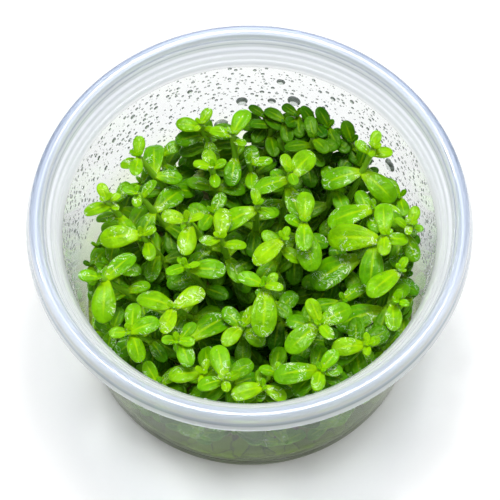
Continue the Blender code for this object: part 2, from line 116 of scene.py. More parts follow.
# One line a shoot, in millimetres and degrees: where its tip is, where it leaves the gel, then
# its nodes from the tip down: stem length above the node, then heading and length of each leaf
shoots = (
    ((-12, 34, 38), (-6, 30), (1, 60, 5, 240, 3), (1.6, 160, 7, 345, 3), (9, 70, 5, 250, 6)),
    ((-27, 23, 42), (-14, 17), (1, 88, 5.5, 262, 6), (1.6, 178, 5.5), (6, 92, 10, 130, 6, 10, 7)),
    ((-27, 14, 40), (-15, 9), (1, 165, 4, 265, 4.5), (1.6, 50, 5.5), (6, 55, 10, 242, 10)),
    ((-34, 11, 42), (-24, 8), (1, 115, 5, 65, 5), (1.6, 205, 7, 320, 3), (5, 305, 7.5, 190, 6)),
    ((-26, 4, 38), (-17, 1), (1, 185, 10.5, 20, 4), (3, 165, 9.5, 280, 6)),
    ((-35, -9, 42), (-21, -8), (0.8, 180, 5.5, 140, 6), (1.8, 268, 11, 45, 9.5), (9, 200, 6, 20, 6)),
    ((-18, -16, 40), (-11, -11), (1, 262, 7.5, 30, 8.5), (1.6, 160, 10)),
    ((-17, -25, 41), (-8, -14), (1, 175, 4, 345, 4.5), (1.6, 262, 7.5, 65, 5.5), (7, 38, 12, 215, 5)),
    ((-15, 5, 43), (-5, 3), (1, 168, 6.5, 15, 4.5), (1.6, 262, 8.5, 85, 3.5), (6, 140, 6)),
    ((-15, -6, 41), (-9, -4), (1, 205, 5.5, 30, 3.5), (1.6, 318, 9, 130, 4)),
    ((-7, 1, 42), (-3, -1), (1, 84, 8, 200, 4.5), (3, 350, 6, 170, 6)),
    ((-4, 30, 40), (-2, 22), (1, 62, 8, 172, 6), (1.6, 330, 4), (5.5, 252, 8, 70, 5)),
    ((-9, 22, 38), (-7, 18), (1, 172, 5, 20, 4), (2, 105, 6.5, 280, 5)),
    ((10, 18, 43), (7, 12), (1, 112, 5, 285, 4.5), (2.5, 200, 9.5, 52, 10), (2.5, 290, 9, 130, 6)),
    ((13, 4, 44), (10, 5), (1, 86, 8, 230, 8), (3, 282, 11.5, 150, 5)),
    ((8, 0, 43), (5, -1), (1, 222, 9.5, 40, 3.5), (4, 140, 6, 320, 6)),
    ((2, 9, 43), (1, 9), (1, 100, 4.5, 146, 6), (1.8, 240, 11, 330, 5), (5, 20, 6, 180, 6)),
    ((30, 23, 45), (21, 14), (1, 75, 5, 255, 3), (1.6, 140, 5, 15, 5.5), (6, 176, 10.5, 336, 11)),
    ((32, 0, 45), (15, -5), (1, 90, 8.5, 265, 6), (2, 172, 13, 10, 7), (2, 300, 11), (6, 205, 14)),
    ((38, 3, 44), (32, 3), (1, 70, 5, 250, 3.5), (2, 170, 4, 340, 4)),
    ((35, -8, 42), (28, -8), (1, 240, 10.5, 60, 4)),
    ((34, -16, 43), (25, -14), (0.8, 330, 3.5, 150, 4), (2, 278, 7.5, 95, 4), (5, 193, 12.5, 20, 5)),
    ((16, -22, 44), (12, -16), (1, 112, 6.5, 300, 5.5), (1.8, 222, 10, 28, 9), (5, 160, 7, 340, 6)),
    ((3, -12, 44), (9, -14), (1, 162, 6.5, 340, 5), (1.6, 266, 12, 88, 4.5), (7, 320, 6, 140, 5)),
    ((27, -27, 43), (19, -20), (0.8, 100, 3, 260, 3.5), (1.8, 187, 8, 20, 4)),
    ((16, -33, 43), (12, -26), (1, 56, 6, 258, 6), (1.8, 163, 11, 0, 5.5)),
    ((7, -32, 38), (4, -24), (0.8, 110, 3, 290, 3), (3, 350, 7, 170, 5)),
    ((-28, -23, 42), (-20, -17), (1, 190, 5, 0, 7.5), (1.6, 125, 7.5, 285, 8)),
    ((-11, -32, 39), (-8, -25), (1, 95, 3.5, 270, 4), (1.8, 185, 8.5, 10, 5)),
    ((-6, -35, 43), (-3, -28), (1, 102, 8.5, 280, 4), (1.8, 200, 7, 20, 4)),
    ((-2, -19, 36), (-1, -18), (1, 230, 7, 50, 6), (2, 140, 7, 320, 7)),
    ((3, -35, 38), (2, -30), (1, 172, 8, 10, 6), (4, 80, 5, 260, 4)),
    ((30, 11, 37), (24, 9), (1, 195, 12, 20, 7), (3, 110, 7, 290, 6)),
    ((0, 26, 33), (3, 22), (1, 0, 6, 180, 5), (3, 90, 7, 270, 6)),
    ((-9, 12, 33), (-9, 11), (1, 60, 6, 240, 6), (3, 150, 7, 330, 6)),
    ((16, 30, 38), (12, 25), (1, 100, 6, 280, 6), (2.5, 10, 7, 190, 7)),
    ((22, 19, 35), (17, 16), (1, 20, 7, 200, 7), (3, 110, 7, 290, 7)),
    ((6, 37, 32), (3, 31), (1, 0, 5, 180, 6), (3, 90, 3, 270, 7)),
    ((-22, 30, 30), (-19, 25), (1, 30, 6, 210, 6), (3, 120, 4, 300, 7)),
    ((-34, 0, 30), (-29, 0), (1, 80, 6, 260, 6), (3, 170, 5, 350, 7)),
    ((22, -12, 34), (19, -8), (1, 60, 7, 240, 7), (3, 330, 7, 150, 7)),
    ((-22, -31, 30), (-19, -26), (1, 120, 6, 300, 6), (3, 30, 7, 210, 5)),
    ((37, 16, 33), (31, 14), (1, 90, 6, 270, 6), (3, 180, 7)),
    ((13, 36, 32), (12, 33), (1, 60, 4, 240, 6), (3, 150, 6, 330, 6)),
    ((21, 32, 34), (19, 29), (1, 130, 6, 310, 6), (3, 40, 5, 220, 6)),
    ((29, 25, 32), (27, 23), (1, 100, 6, 280, 6), (3, 190, 6, 10, 4)),
    ((-16, -34, 25), (-15, -32), (1, 20, 6, 200, 6), (3, 110, 6, 290, 4)),
    ((10, -36, 24), (9, -33), (1, 170, 6, 350, 6), (3, 80, 6, 260, 3.5)),
    ((21, -31, 27), (20, -29), (1, 30, 6, 210, 6), (3, 120, 6, 300, 4)),
    ((-4, -38, 22), (-4, -35), (1, 10, 6, 190, 6), (3, 100, 5)),
    ((-33, -16, 27), (-31, -15), (1, 70, 6, 250, 6), (3, 160, 4, 340, 6)),
    ((38, -2, 26), (34, -2), (1, 80, 6, 260, 6), (3, 170, 6)),
    ((32, -22, 27), (29, -21), (1, 50, 6, 230, 6), (3, 140, 6, 320, 4)),
    ((-11, 37, 24), (-11, 35), (1, 0, 6, 180, 6), (3, 270, 6)),
    ((-33, 19, 26), (-30, 17), (1, 60, 6, 240, 6), (3, 150, 4, 330, 6)),
    ((-27, 25, 24), (-26, 24), (1, 40, 6, 220, 6), (3, 310, 6)),
)

planting = {
    "lowerGap": 6.0,
    "lowerLeaves": (7.5, 6.5, 5.5),
    "lowestNode": gel["top"] + 3.5,
    "middleShoot": 24.0,   # shoots farther out than this have two lower pairs, and past the next, three
    "outerShoot": 30.0,
    "headingTurns": (0, 9, -9, 18, -18, 27, -27, 38, -38),
    "pitchTurns": (0, 12, -12, 24, -22),
    "lengthShares": (1.0, 0.85, 0.7),
    "nodeReach": 2.0,      # this near its node, a leaf may meet its own shoot
    "sampleStep": 1.3,
    "aboveGel": 0.9,
    "widthShare": 0.56,
    "widestAt": 0.6,
    "neckShare": 0.34,
    "roll": 14.0,
    # degrees for a leaf of no length, and the change with each millimetre
    "youngPitch": (46.0, 2.6),
    "oldPitch": (26.0, 1.4),
    "droop": (22.0, 2.4),
    # how near a leaf may come to another shoot's leaf and stem, its own, and the wall
    "reach": {"leaf": 1.6, "stem": 2.1, "ownLeaf": 1.3, "ownStem": 1.5, "wall": 0.95},
}

# Pairs that only the visible plants have, in the stem's bare stretches
filling = {
    "step": 2.3,
    "clearOfNode": 1.7,
    "lowest": gel["top"] + 1.6,
    "highest": 27.0,       # above this the stems stay bare, but for those at the wall
    "outerShoot": 27.0,
    "lengths": (7.8, 7.2, 8.2, 6.4),
    "headingTurns": (0, 16, -16, 32, -32),
    "pitchTurns": (0, 18, -18),
    "lengthShares": (1.0, 0.82, 0.66),
    "reach": {"leaf": 0.85, "stem": 1.3, "ownLeaf": 0.8, "ownStem": 1.05, "wall": 0.35},
}

# Side twigs: from the foot of an outer shoot along the wall on the gel, then upright
twigs = {
    "outerShoot": 27.0,
    "radius": 38.9,
    "low": gel["top"] + 1.6,
    "topHeights": (15.0, 19.0, 12.5, 17.0),
    "shortestGap": 5.0,    # degrees between two feet
    "widestGap": 15.0,     # a wider gap is filled from both sides
    "shares": (1.0, 0.75, 0.5),
    "margin": 3.0,         # degrees kept free before the next foot
    "out": 0.4,            # share of the twig's run on which it goes out to the wall
    "upright": 0.6,        # share of its run where it starts to rise
    "footLift": 0.9,       # how far over the shoot's foot it leaves the stem
    "step": 1.9,
    "ends": (0.8, 1.6),    # bare lengths at the tip and at the foot
    "spread": 58.0,        # degrees from straight out, to each side in turn
    "crossAbove": 1.5,     # this high over the gel's ring of pairs, they cross
    "outward": (5.6, 5.0, 6.2),    # leaf lengths, on the side of the wall and across from it
    "inward": (6.0, 5.0, 5.5),
    # short ones high up the wall at the back: shoot, height they leave it at, angle and height of the tip
    "high": (
        (38, 25, 84, 32.5), (38, 27, 78, 34.5), (44, 26, 74, 35.5), (44, 28, 69, 35.0), (36, 29, 66, 36.0),
        (45, 27, 62, 35.5), (45, 29, 56, 35.0), (46, 26, 50, 35.0), (46, 28, 44, 33.0),
    ),
    "highRadii": (39.4, 38.6, 37.6, 36.4),
    "highTurns": (0, 2, -2, 4, -4),
    "highLeaf": 6.2,
    "highEnds": (0.7, 1.4),
    "highHeading": 20,
    # how near a twig's own path may come to a stem and to a leaf
    "clear": (1.6, 0.8),
    "highClear": (1.2, 0.5),
    "freeStart": 2.6,      # the first stretch, which may pass its own shoot's stem
    "reach": {"leaf": 0.6, "stem": 0.95, "ownLeaf": 0.45, "ownStem": 0.8, "wall": 0.3},
    "headingTurns": (0, 14, -14, 28, -28, 46, -46),
    "pitchTurns": (0, 14, -14, 28, 42),
    "lengthShares": (1.0, 0.8, 0.62),
}


def wallInside(height):
    # straight taper: inner radius grows evenly from the floor to the shoulder
    top = cup["height"] - cup["shoulderDrop"]
    bottomRadius = cup["baseRadius"] - cup["wall"]
    return bottomRadius + (cup["shoulderRadius"] - bottomRadius) * height / top


def stemPath(tip, root):
    # cubic curve from tip to gel, (1-t)^3, 3(1-t)^2 t, 3(1-t) t^2 and t^3 of its four points
    foot = np.array([root[0], root[1], gel["top"] + gel["gap"]])
    end = np.array(tip, float)
    nearTip = end - (end - foot) * np.array([0.5, 0.5, 0.35])
    nearFoot = foot + (end - foot) * np.array([0.15, 0.15, 0.4])
    t = np.linspace(0.0, 1.0, 61)[:, None]
    s = 1 - t
    return s**3 * end + 3 * s**2 * t * nearTip + 3 * s * t**2 * nearFoot + t**3 * foot


def distances(path):
    # running sum of the lengths of a path's steps
    steps = np.sqrt(((path[1:] - path[:-1]) ** 2).sum(1))
    return np.concatenate([[0.0], np.cumsum(steps)])


def atLength(path, lengths, where):
    # point at a distance from the tip, and the direction up the stem there
    point = np.array([np.interp(where, lengths, path[:, axis]) for axis in range(3)])
    ahead = np.array([np.interp(where + 0.5, lengths, path[:, axis]) for axis in range(3)])
    behind = np.array([np.interp(where - 0.5, lengths, path[:, axis]) for axis in range(3)])
    upward = behind - ahead
    return point, upward / np.sqrt((upward**2).sum())


def leafPitch(length, young):
    # falls evenly with the leaf's length
    start, fall = planting["youngPitch"] if young else planting["oldPitch"]
    return start - fall * length


def leafFrame(foot, heading, pitch, length, u):
    # a leaf's line is an arc whose pitch p falls by the droop b: at share u it is
    # L / b (sin p - sin(p - b u)) out and L / b (cos(p - b u) - cos p) up; the blade rolls on it
    least, growth = planting["droop"]
    droop = math.radians(least + growth * length)
    p = math.radians(pitch)
    turnedPitch = p - droop * u
    out = length / droop * (math.sin(p) - np.sin(turnedPitch))
    rise = length / droop * (np.cos(turnedPitch) - math.cos(p))
    a = math.radians(heading)
    level = np.array([math.cos(a), math.sin(a), 0.0])
    upright = np.array([0.0, 0.0, 1.0])
    centre = foot + out[:, None] * level + rise[:, None] * upright
    flatSide = np.array([-math.sin(a), math.cos(a), 0.0])
    flatNormal = np.cos(turnedPitch)[:, None] * upright - np.sin(turnedPitch)[:, None] * level
    roll = math.radians(planting["roll"] * math.sin(3.0 * a + 5.0 * length)) * np.minimum(3.0 * u, 1.0)
    normal = np.cos(roll)[:, None] * flatNormal - np.sin(roll)[:, None] * flatSide
    side = np.cos(roll)[:, None] * flatSide + np.sin(roll)[:, None] * flatNormal
    return centre, normal, side


def leafWidth(u, length):
    # full width: a power of a sine up to the widest place, then the quarter of an ellipse;
    # a long leaf is narrower for its length
    widest = planting["widestAt"]
    neck = planting["neckShare"]
    swell = np.clip(u / widest, 0.0, 1.0)
    rising = neck + (1 - neck) * np.sin(swell * math.pi / 2) ** 1.3
    closing = np.sqrt(np.clip(1 - ((u - widest) / (1.001 - widest)) ** 2, 0.0, 1.0))
    share = planting["widthShare"] * (1.12 - 0.012 * length)
    return length * share * np.where(u < widest, rising, closing)


def leafSamples(foot, heading, pitch, length):
    # grid over the leaf's middle surface: rows along its line, five points across each
    rows = max(4, int(math.ceil(length / planting["sampleStep"])))
    u = np.linspace(0.12, 1.0, rows)
    centre, _, side = leafFrame(foot, heading, pitch, length, u)
    half = leafWidth(np.minimum(u, 0.97), length) / 2
    across = np.linspace(-1.0, 1.0, 5)
    points = centre[:, None, :] + (half[:, None] * across)[:, :, None] * side[:, None, :]
    return points.reshape(-1, 3)


def nearest(points, others, reach):
    # whether any point comes within reach of any other one
    if not len(others) or not len(points):
        return False
    low = points.min(0) - reach
    high = points.max(0) + reach
    close = others[((others > low) & (others < high)).all(1)]
    if not len(close):
        return False
    gaps = ((points[:, None, :] - close[None, :, :]) ** 2).sum(2)
    return gaps.min() < reach**2


def awayFrom(foot, points):
    return points[((points - foot) ** 2).sum(1) > planting["nodeReach"] ** 2]


def insideCup(points, wallReach):
    radius = np.sqrt((points[:, :2] ** 2).sum(1))
    facet = math.cos(math.pi / cup["solidSteps"])
    room = wallInside(np.minimum(points[:, 2], cup["height"] - cup["shoulderDrop"])) * facet
    return (radius < room - wallReach).all() and points[:, 2].min() > gel["top"] + planting["aboveGel"]


class Plan:
    # finds room for every leaf, and remembers what already stands in the cup

    def __init__(self):
        self.stems = []
        self.leafPoints = np.zeros((0, 3))
        self.leafOwner = np.zeros(0, int)
        for number, (tip, root, *_) in enumerate(shoots):
            path = stemPath(tip, root)
            self.stems.append({"path": path, "lengths": distances(path), "nodes": [], "owner": number})
        sampled = [stem["path"][::2] for stem in self.stems]
        self.stemPoints = np.concatenate(sampled)
        self.stemOwner = np.concatenate([[i] * len(s) for i, s in enumerate(sampled)])

    def fits(self, shoot, foot, points, reach):
        if not insideCup(points, reach["wall"]):
            return False
        if nearest(points, self.stemPoints[self.stemOwner != shoot], reach["stem"]):
            return False
        if nearest(points, self.leafPoints[self.leafOwner != shoot], reach["leaf"]):
            return False
        outer = awayFrom(foot, points)
        ownStem = self.stemPoints[self.stemOwner == shoot]
        ownLeaves = self.leafPoints[self.leafOwner == shoot]
        if nearest(outer, awayFrom(foot, ownStem), reach["ownStem"]):
            return False
        return not nearest(outer, awayFrom(foot, ownLeaves), reach["ownLeaf"])

    def place(self, shoot, node, heading, length, young, rules):
        # other headings are tried first, then other pitches, then shorter leaves
        for share, tipTurn, turn in itertools.product(
            rules["lengthShares"], rules["pitchTurns"], rules["headingTurns"]
        ):
            size = length * share
            pitch = leafPitch(size, young) + tipTurn
            points = leafSamples(node["point"], heading + turn, pitch, size)
            if self.fits(shoot, node["point"], points, rules["reach"]):
                self.leafPoints = np.concatenate([self.leafPoints, points])
                self.leafOwner = np.concatenate([self.leafOwner, np.full(len(points), shoot)])
                node["leaves"].append((heading + turn, pitch, size))
                return

    def addLeaves(self, shoot, where, leaves, young, rank, rules):
        stem = self.stems[shoot]
        point, _ = atLength(stem["path"], stem["lengths"], where)
        node = {"where": where, "point": point, "leaves": [], "rank": rank}
        for heading, length in leaves:
            self.place(shoot, node, heading, length, young, rules)
        stem["nodes"].append(node)

    def addPair(self, shoot, where, heading, lengths, rank, rules):
        # two grown leaves, straight across the stem from each other
        self.addLeaves(shoot, where, zip((heading, heading + 180), lengths), False, rank, rules)

    def namedNodes(self):
        for shoot, (_, _, *nodes) in enumerate(shoots):
            where = 0.0
            for rank, (gap, *leaves) in enumerate(nodes):
                where += gap
                self.addLeaves(shoot, where, zip(leaves[0::2], leaves[1::2]), rank < 2, rank, planting)

    def lowerNodes(self):
        for shoot, stem in enumerate(self.stems):
            heading = shoots[shoot][-1][1]
            where = stem["nodes"][-1]["where"]
            radius = math.hypot(*shoots[shoot][1])
            pairs = 1 + (radius > planting["middleShoot"]) + (radius > planting["outerShoot"])
            for length in planting["lowerLeaves"][:pairs]:
                where += planting["lowerGap"]
                heading += 90
                if where > stem["lengths"][-1]:
                    break
                if np.interp(where, stem["lengths"], stem["path"][:, 2]) < planting["lowestNode"]:
                    break
                self.addPair(shoot, where, heading, (length, length), 4, planting)

    def sideTwigs(self):
        # round the ring of outer shoots, a twig from each foot towards the next one
        feet = np.array([stem["path"][-1] for stem in self.stems])
        radius = np.hypot(feet[:, 0], feet[:, 1])
        angle = np.degrees(np.arctan2(feet[:, 1], feet[:, 0])) % 360
        ring = [n for n in np.argsort(angle) if radius[n] > twigs["outerShoot"]]
        for i, owner in enumerate(ring):
            other = ring[(i + 1) % len(ring)]
            gap = (angle[other] - angle[owner]) % 360
            if gap < twigs["shortestGap"]:
                continue
            top = twigs["topHeights"][i % 4]
            if gap < twigs["widestGap"]:
                self.twig(owner, feet[owner], angle[owner], gap - twigs["margin"], top)
                continue
            self.twig(owner, feet[owner], angle[owner], gap / 2 - 1, top)
            self.twig(other, feet[other], angle[other], 1 - gap / 2, twigs["topHeights"][(i + 2) % 4])
        for shoot, height, turn, top in twigs["high"]:
            self.highTwig(shoot - 1, height, turn, top)

    def wayFree(self, path, lengths, clear):
        # past its first stretch, a twig keeps clear of all that stands in the cup
        free = path[lengths < lengths[-1] - twigs["freeStart"]]
        return not nearest(free, self.stemPoints, clear[0]) and not nearest(free, self.leafPoints, clear[1])

    def highTwig(self, owner, height, turn, top):
        # sideways by the square root of the share of its run, and upwards by its power of 1.6
        stem = self.stems[owner]
        foot = stem["path"][np.abs(stem["path"][:, 2] - height).argmin()]
        t = np.linspace(1.0, 0.0, 31)
        for radius, extra in itertools.product(twigs["highRadii"], twigs["highTurns"]):
            a = math.radians(turn + extra)
            reach = np.array([radius * math.cos(a), radius * math.sin(a), top]) - foot
            path = foot + np.stack([np.sqrt(t), np.sqrt(t), t**1.6], -1) * reach
            lengths = distances(path)
            if not self.wayFree(path, lengths, twigs["highClear"]):
                continue
            number = self.newTwig(owner, path, lengths)
            start, bare = twigs["highEnds"]
            for i, where in enumerate(np.arange(start, lengths[-1] - bare, twigs["step"])):
                heading = turn + 90 * (i % 2) + twigs["highHeading"]
                self.addPair(number, where, heading, [twigs["highLeaf"]] * 2, 5, twigs)
            return

    def twig(self, owner, foot, start, span, top):
        # its angle round the cup grows evenly, its radius by a smooth step, and its height in two
        # stages, to the wall and then up it
        t = np.linspace(1.0, 0.0, 41)
        out = np.clip(t / twigs["out"], 0, 1)
        rise = np.clip((t - twigs["upright"]) / (1 - twigs["upright"]), 0, 1)
        r = math.hypot(foot[0], foot[1])
        r = r + (twigs["radius"] + rise - r) * out**2 * (3 - 2 * out)
        lift = twigs["footLift"]
        z = foot[2] + lift + (twigs["low"] - foot[2] - lift) * out + (top - twigs["low"]) * rise**1.4
        for share in twigs["shares"]:
            a = np.radians(start + span * share * t)
            path = np.stack([r * np.cos(a), r * np.sin(a), z], -1)
            lengths = distances(path)
            if not self.wayFree(path, lengths, twigs["clear"]):
                continue
            number = self.newTwig(owner, path, lengths)
            first, bare = twigs["ends"]
            for i, where in enumerate(np.arange(first, lengths[-1] - bare, twigs["step"])):
                point = [np.interp(where, lengths, path[:, axis]) for axis in range(3)]
                heading = math.degrees(math.atan2(point[1], point[0])) + twigs["spread"] * (-1) ** i
                if point[2] > twigs["low"] + twigs["crossAbove"]:
                    heading += 90 * (i % 2)
                lengthPair = twigs["outward"][i % 3], twigs["inward"][i % 3]
                self.addPair(number, where, heading, lengthPair, 1, twigs)
            return

    def newTwig(self, owner, path, lengths):
        number = len(self.stems)
        self.stems.append({"path": path, "lengths": lengths, "nodes": [], "owner": owner})
        self.stemPoints = np.concatenate([self.stemPoints, path[::2]])
        self.stemOwner = np.concatenate([self.stemOwner, np.full(len(path[::2]), number)])
        return number

    def fillNodes(self):
        # the same crossing pairs again, wherever a stem is bare below its second node
        for shoot, stem in enumerate(self.stems[:len(shoots)]):
            taken = np.array([node["where"] for node in stem["nodes"]])
            start = sorted(taken)[min(1, len(taken) - 1)] + filling["step"]
            heading = shoots[shoot][-1][1] + 45
            x, y = shoots[shoot][1]
            atWall = math.hypot(x, y) > filling["outerShoot"]
            if atWall:
                # against the wall, one pair in two points straight at it
                heading = math.degrees(math.atan2(y, x)) + 15 * math.sin(7.0 * shoot)
            for i, where in enumerate(np.arange(start, stem["lengths"][-1], filling["step"])):
                heading += 90
                height = np.interp(where, stem["lengths"], stem["path"][:, 2])
                if height < filling["lowest"]:
                    break
                if height > filling["highest"] and not atWall:
                    continue
                if np.abs(taken - where).min() < filling["clearOfNode"]:
                    continue
                self.addPair(shoot, where, heading, [filling["lengths"][i % 4]] * 2, 5, filling)


def planShoots():
    plan = Plan()
    plan.namedNodes()
    plan.lowerNodes()
    plan.sideTwigs()
    plan.fillNodes()
    print("plan:", sum(len(node["leaves"]) for stem in plan.stems for node in stem["nodes"]), "leaves")
    return plan.stems


# One blade: stations along its line, and six points round its section as (across, up)
blade = {
    "stations": (0.0, 0.1, 0.21, 0.34, 0.48, 0.62, 0.75, 0.86, 0.945),
    "section": ((1.3, 0.0), (0.64, 1.15), (0.0, 0.62), (-0.64, 1.15), (-1.3, 0.0), (0.0, -1.2)),
    "tip": 1.035,
    "halfThickness": 0.36,
    "cupped": 0.16,
    "wavy": 0.07,
    "twist": 9.0,
    "smoothing": 1,        # levels of the subdivided skin
}

stemShape = {
    "around": 6,
    "row": 1.7,
    "footRadius": 1.12,
    "tipRadius": 0.82,
    "nodeSwell": 0.22,
    "budLength": 2.5,
    "budPitch": 66.0,
    "budSink": 0.3,
    "footSink": 0.6,       # how far a stem reaches into the gel, or a twig into its shoot
}

# How fresh and how lit a leaf looks: fresher by its place on the stem, darker by painted shade for its depth
# in the cup and for the shoots that stand in the shade of others
look = {
    "ranks": (1.0, 0.8, 0.62, 0.5, 0.34, 0.22),
    "depths": (10.0, 18.0, 30.0, 36.0),
    "paintedDepthShades": (0.75, 0.4, 0.8, 1.0),
    "shadedFrom": 33,
    "shaded": 0.62,
    # painted shadow: these shoots at the back are coloured a deep dark green
    "paintedShadowCorner": (36, 38, 44, 45, 46),    # shoots that stand wet in the shade at the back
    "dark": 0.06,
    # painted light: below this height, leaves out at the wall are spared the painted depth shade
    "paintedLightBelow": 16.0,      # below this, leaves out at the wall are as fresh as their rank
    "wallFrom": 36.0,
    "twig": 0.8,           # thickness of a twig as a share of a stem's
    "seed": 31,
    "greenSpread": 0.35,
    "youthSpread": 0.1,
}


def leafBlade(foot, heading, pitch, length, odd):
    # closed skin: at each station u a flat six-sided section, half the leaf's width times across
    # and the thickness times up, with edges lifted by across squared and a wave along the margin
    u = np.array(blade["stations"] + (blade["tip"],))
    centre, normal, side = leafFrame(foot, heading, pitch, length, u)
    across, up = np.array(blade["section"]).T
    half = leafWidth(np.minimum(u[:-1], 0.985), length)[:, None] / 2
    thick = blade["halfThickness"] * (1.3 - 0.55 * u[:-1, None]) * min(1.0, 0.55 + length / 16)
    lift = (blade["cupped"] * odd[0] * across**2) * half * np.minimum(2.2 * u[:-1, None], 1.0)
    wave = blade["wavy"] * half * across * np.sin(2 * math.pi * (1.4 * u[:-1, None] + odd[1]))
    turn = np.radians(blade["twist"] * odd[2]) * u[:-1, None]
    x = half * across
    z = thick * up + lift + wave
    spun = x * np.cos(turn) - z * np.sin(turn), x * np.sin(turn) + z * np.cos(turn)
    skin = centre[:-1, None] + spun[0][..., None] * side[:-1, None] + spun[1][..., None] * normal[:-1, None]
    verts = np.concatenate([skin.reshape(-1, 3), centre[-1:]])
    place = np.zeros((len(verts), 3))
    place[:-1, 0] = np.repeat(u[:-1], len(across))
    place[:-1, 1] = np.tile(across / across.max(), len(u) - 1)
    place[-1, 0] = 1.0
    return verts, tubeFaces(len(u) - 1, len(across), pointed=True), place


def ringQuads(rows, around):
    # quads between neighbouring rings of points
    i, j = np.meshgrid(np.arange(rows - 1), np.arange(around), indexing="ij")
    k = (j + 1) % around
    corners = i * around + j, i * around + k, (i + 1) * around + k, (i + 1) * around + j
    return np.stack(corners, -1).reshape(-1, 4)


def tubeFaces(rows, around, pointed=False):
    # a row of rings, with a cap on the first one and a point or a cap on the last
    faces = ringQuads(rows, around).tolist()
    faces.append(list(range(around))[::-1])
    last = (rows - 1) * around
    if pointed:
        faces += [[last + n, last + (n + 1) % around, rows * around] for n in range(around)]
    else:
        faces.append([last + n for n in range(around)])
    return faces


def stemTube(stem, thickness):
    # rings square to the path, from the gel to the tip, swelling by a bell curve at every node
    total = stem["lengths"][-1]
    rows = int(total / stemShape["row"]) + 2
    where = np.linspace(total, 0.15, rows)
    centre = np.stack([np.interp(where, stem["lengths"], stem["path"][:, axis]) for axis in range(3)], -1)
    centre[0, 2] -= stemShape["footSink"]
    along = np.gradient(centre, axis=0)
    along /= np.sqrt((along**2).sum(1))[:, None]
    east = np.cross(along, np.array([0.0, 1.0, 0.0]))
    east /= np.sqrt((east**2).sum(1))[:, None]
    north = np.cross(along, east)
    nodes = np.array([n["where"] for n in stem["nodes"] if n["leaves"]] + [0.0])
    swell = np.exp(-(((where[:, None] - nodes) / 0.9) ** 2)).max(1)
    share = where / total
    radius = stemShape["tipRadius"] + (stemShape["footRadius"] - stemShape["tipRadius"]) * share
    radius = thickness * radius * (1 + stemShape["nodeSwell"] * swell)
    angle = np.linspace(0, 2 * math.pi, stemShape["around"], endpoint=False)
    ring = np.cos(angle)[None, :, None] * east[:, None] + np.sin(angle)[None, :, None] * north[:, None]
    verts = (centre[:, None] + radius[:, None, None] * ring).reshape(-1, 3)
    return verts, tubeFaces(rows, stemShape["around"]), np.zeros((len(verts), 3))


def joined(parts):
    # one list of points and one of faces, each part's faces counted on from the last
    verts = np.concatenate([part[0] for part in parts])
    faces = []
    start = 0
    for part in parts:
        faces += [[v + start for v in face] for face in part[1]]
        start += len(part[0])
    return verts, faces


def newPiece(name, verts, faces, materials, kinds=None, attributes=None, smooth=True):
    mesh = bpy.data.meshes.new(name)
    mesh.from_pydata((verts * mm).tolist(), [], faces)
    for material in materials:
        mesh.materials.append(material)
    if kinds is not None:
        mesh.polygons.foreach_set("material_index", kinds)
    mesh.polygons.foreach_set("use_smooth", [smooth] * len(faces))
    for key, values in (attributes or {}).items():
        layer = mesh.attributes.new(key, "FLOAT_VECTOR", "POINT")
        layer.data.foreach_set("vector", values.astype(np.float32).ravel())
    mesh.update()
    obj = bpy.data.objects.new(name, mesh)
    bpy.context.scene.collection.objects.link(obj)
    return obj


def smoothSkin(obj):
    skin = obj.modifiers.new("smooth skin", "SUBSURF")
    skin.levels = blade["smoothing"]
    skin.render_levels = blade["smoothing"]
    return obj


def revolved(profile, steps):
    # turns (radius, height) points about the z axis; a profile end on the axis is one point
    profile = np.array(profile, float)
    angle = np.linspace(0, 2 * math.pi, steps, endpoint=False)
    ring = profile[1:-1]
    verts = np.stack([
        ring[:, 0, None] * np.cos(angle),
        ring[:, 0, None] * np.sin(angle),
        np.repeat(ring[:, 1, None], steps, 1),
    ], -1).reshape(-1, 3)
    verts = np.concatenate([verts, [[0, 0, profile[0, 1]], [0, 0, profile[-1, 1]]]])
    faces = ringQuads(len(ring), steps)[:, [0, 3, 2, 1]].tolist()
    first, last = len(ring) * steps, len(ring) * steps + 1
    end = (len(ring) - 1) * steps
    faces += [[first, n, (n + 1) % steps] for n in range(steps)]
    faces += [[last, end + (n + 1) % steps, end + n] for n in range(steps)]
    return verts, faces


def rounded(points, count):
    # every corner becomes a short quadratic curve that leaves its sides at the corner's radius
    out = [points[0][:2]]
    for before, corner, after in zip(points, points[1:], points[2:]):
        p = np.array(corner[:2], float)
        a = np.array(before[:2], float) - p
        b = np.array(after[:2], float) - p
        reach = min(corner[2], 0.48 * np.hypot(*a), 0.48 * np.hypot(*b))
        a = p + a / np.hypot(*a) * reach
        b = p + b / np.hypot(*b) * reach
        t = np.linspace(0, 1, count)[:, None]
        out += ((1 - t) ** 2 * a + 2 * t * (1 - t) * p + t**2 * b).tolist()
    out.append(points[-1][:2])
    return supported(np.array(out, float))


def supported(line):
    # a point just inside both ends of every long straight stretch, so that it is shaded flat
    out = [line[:1]]
    for a, b in zip(line[:-1], line[1:]):
        length = np.hypot(*(b - a))
        if length > 1.2:
            middle = np.linspace(0.3, length - 0.3, int(length / 5) + 2)
            inside = np.concatenate([[0.12], middle, [length - 0.12]])
            out.append(a + (b - a) * (inside / length)[:, None])
        out.append(b[None])
    return np.concatenate(out)


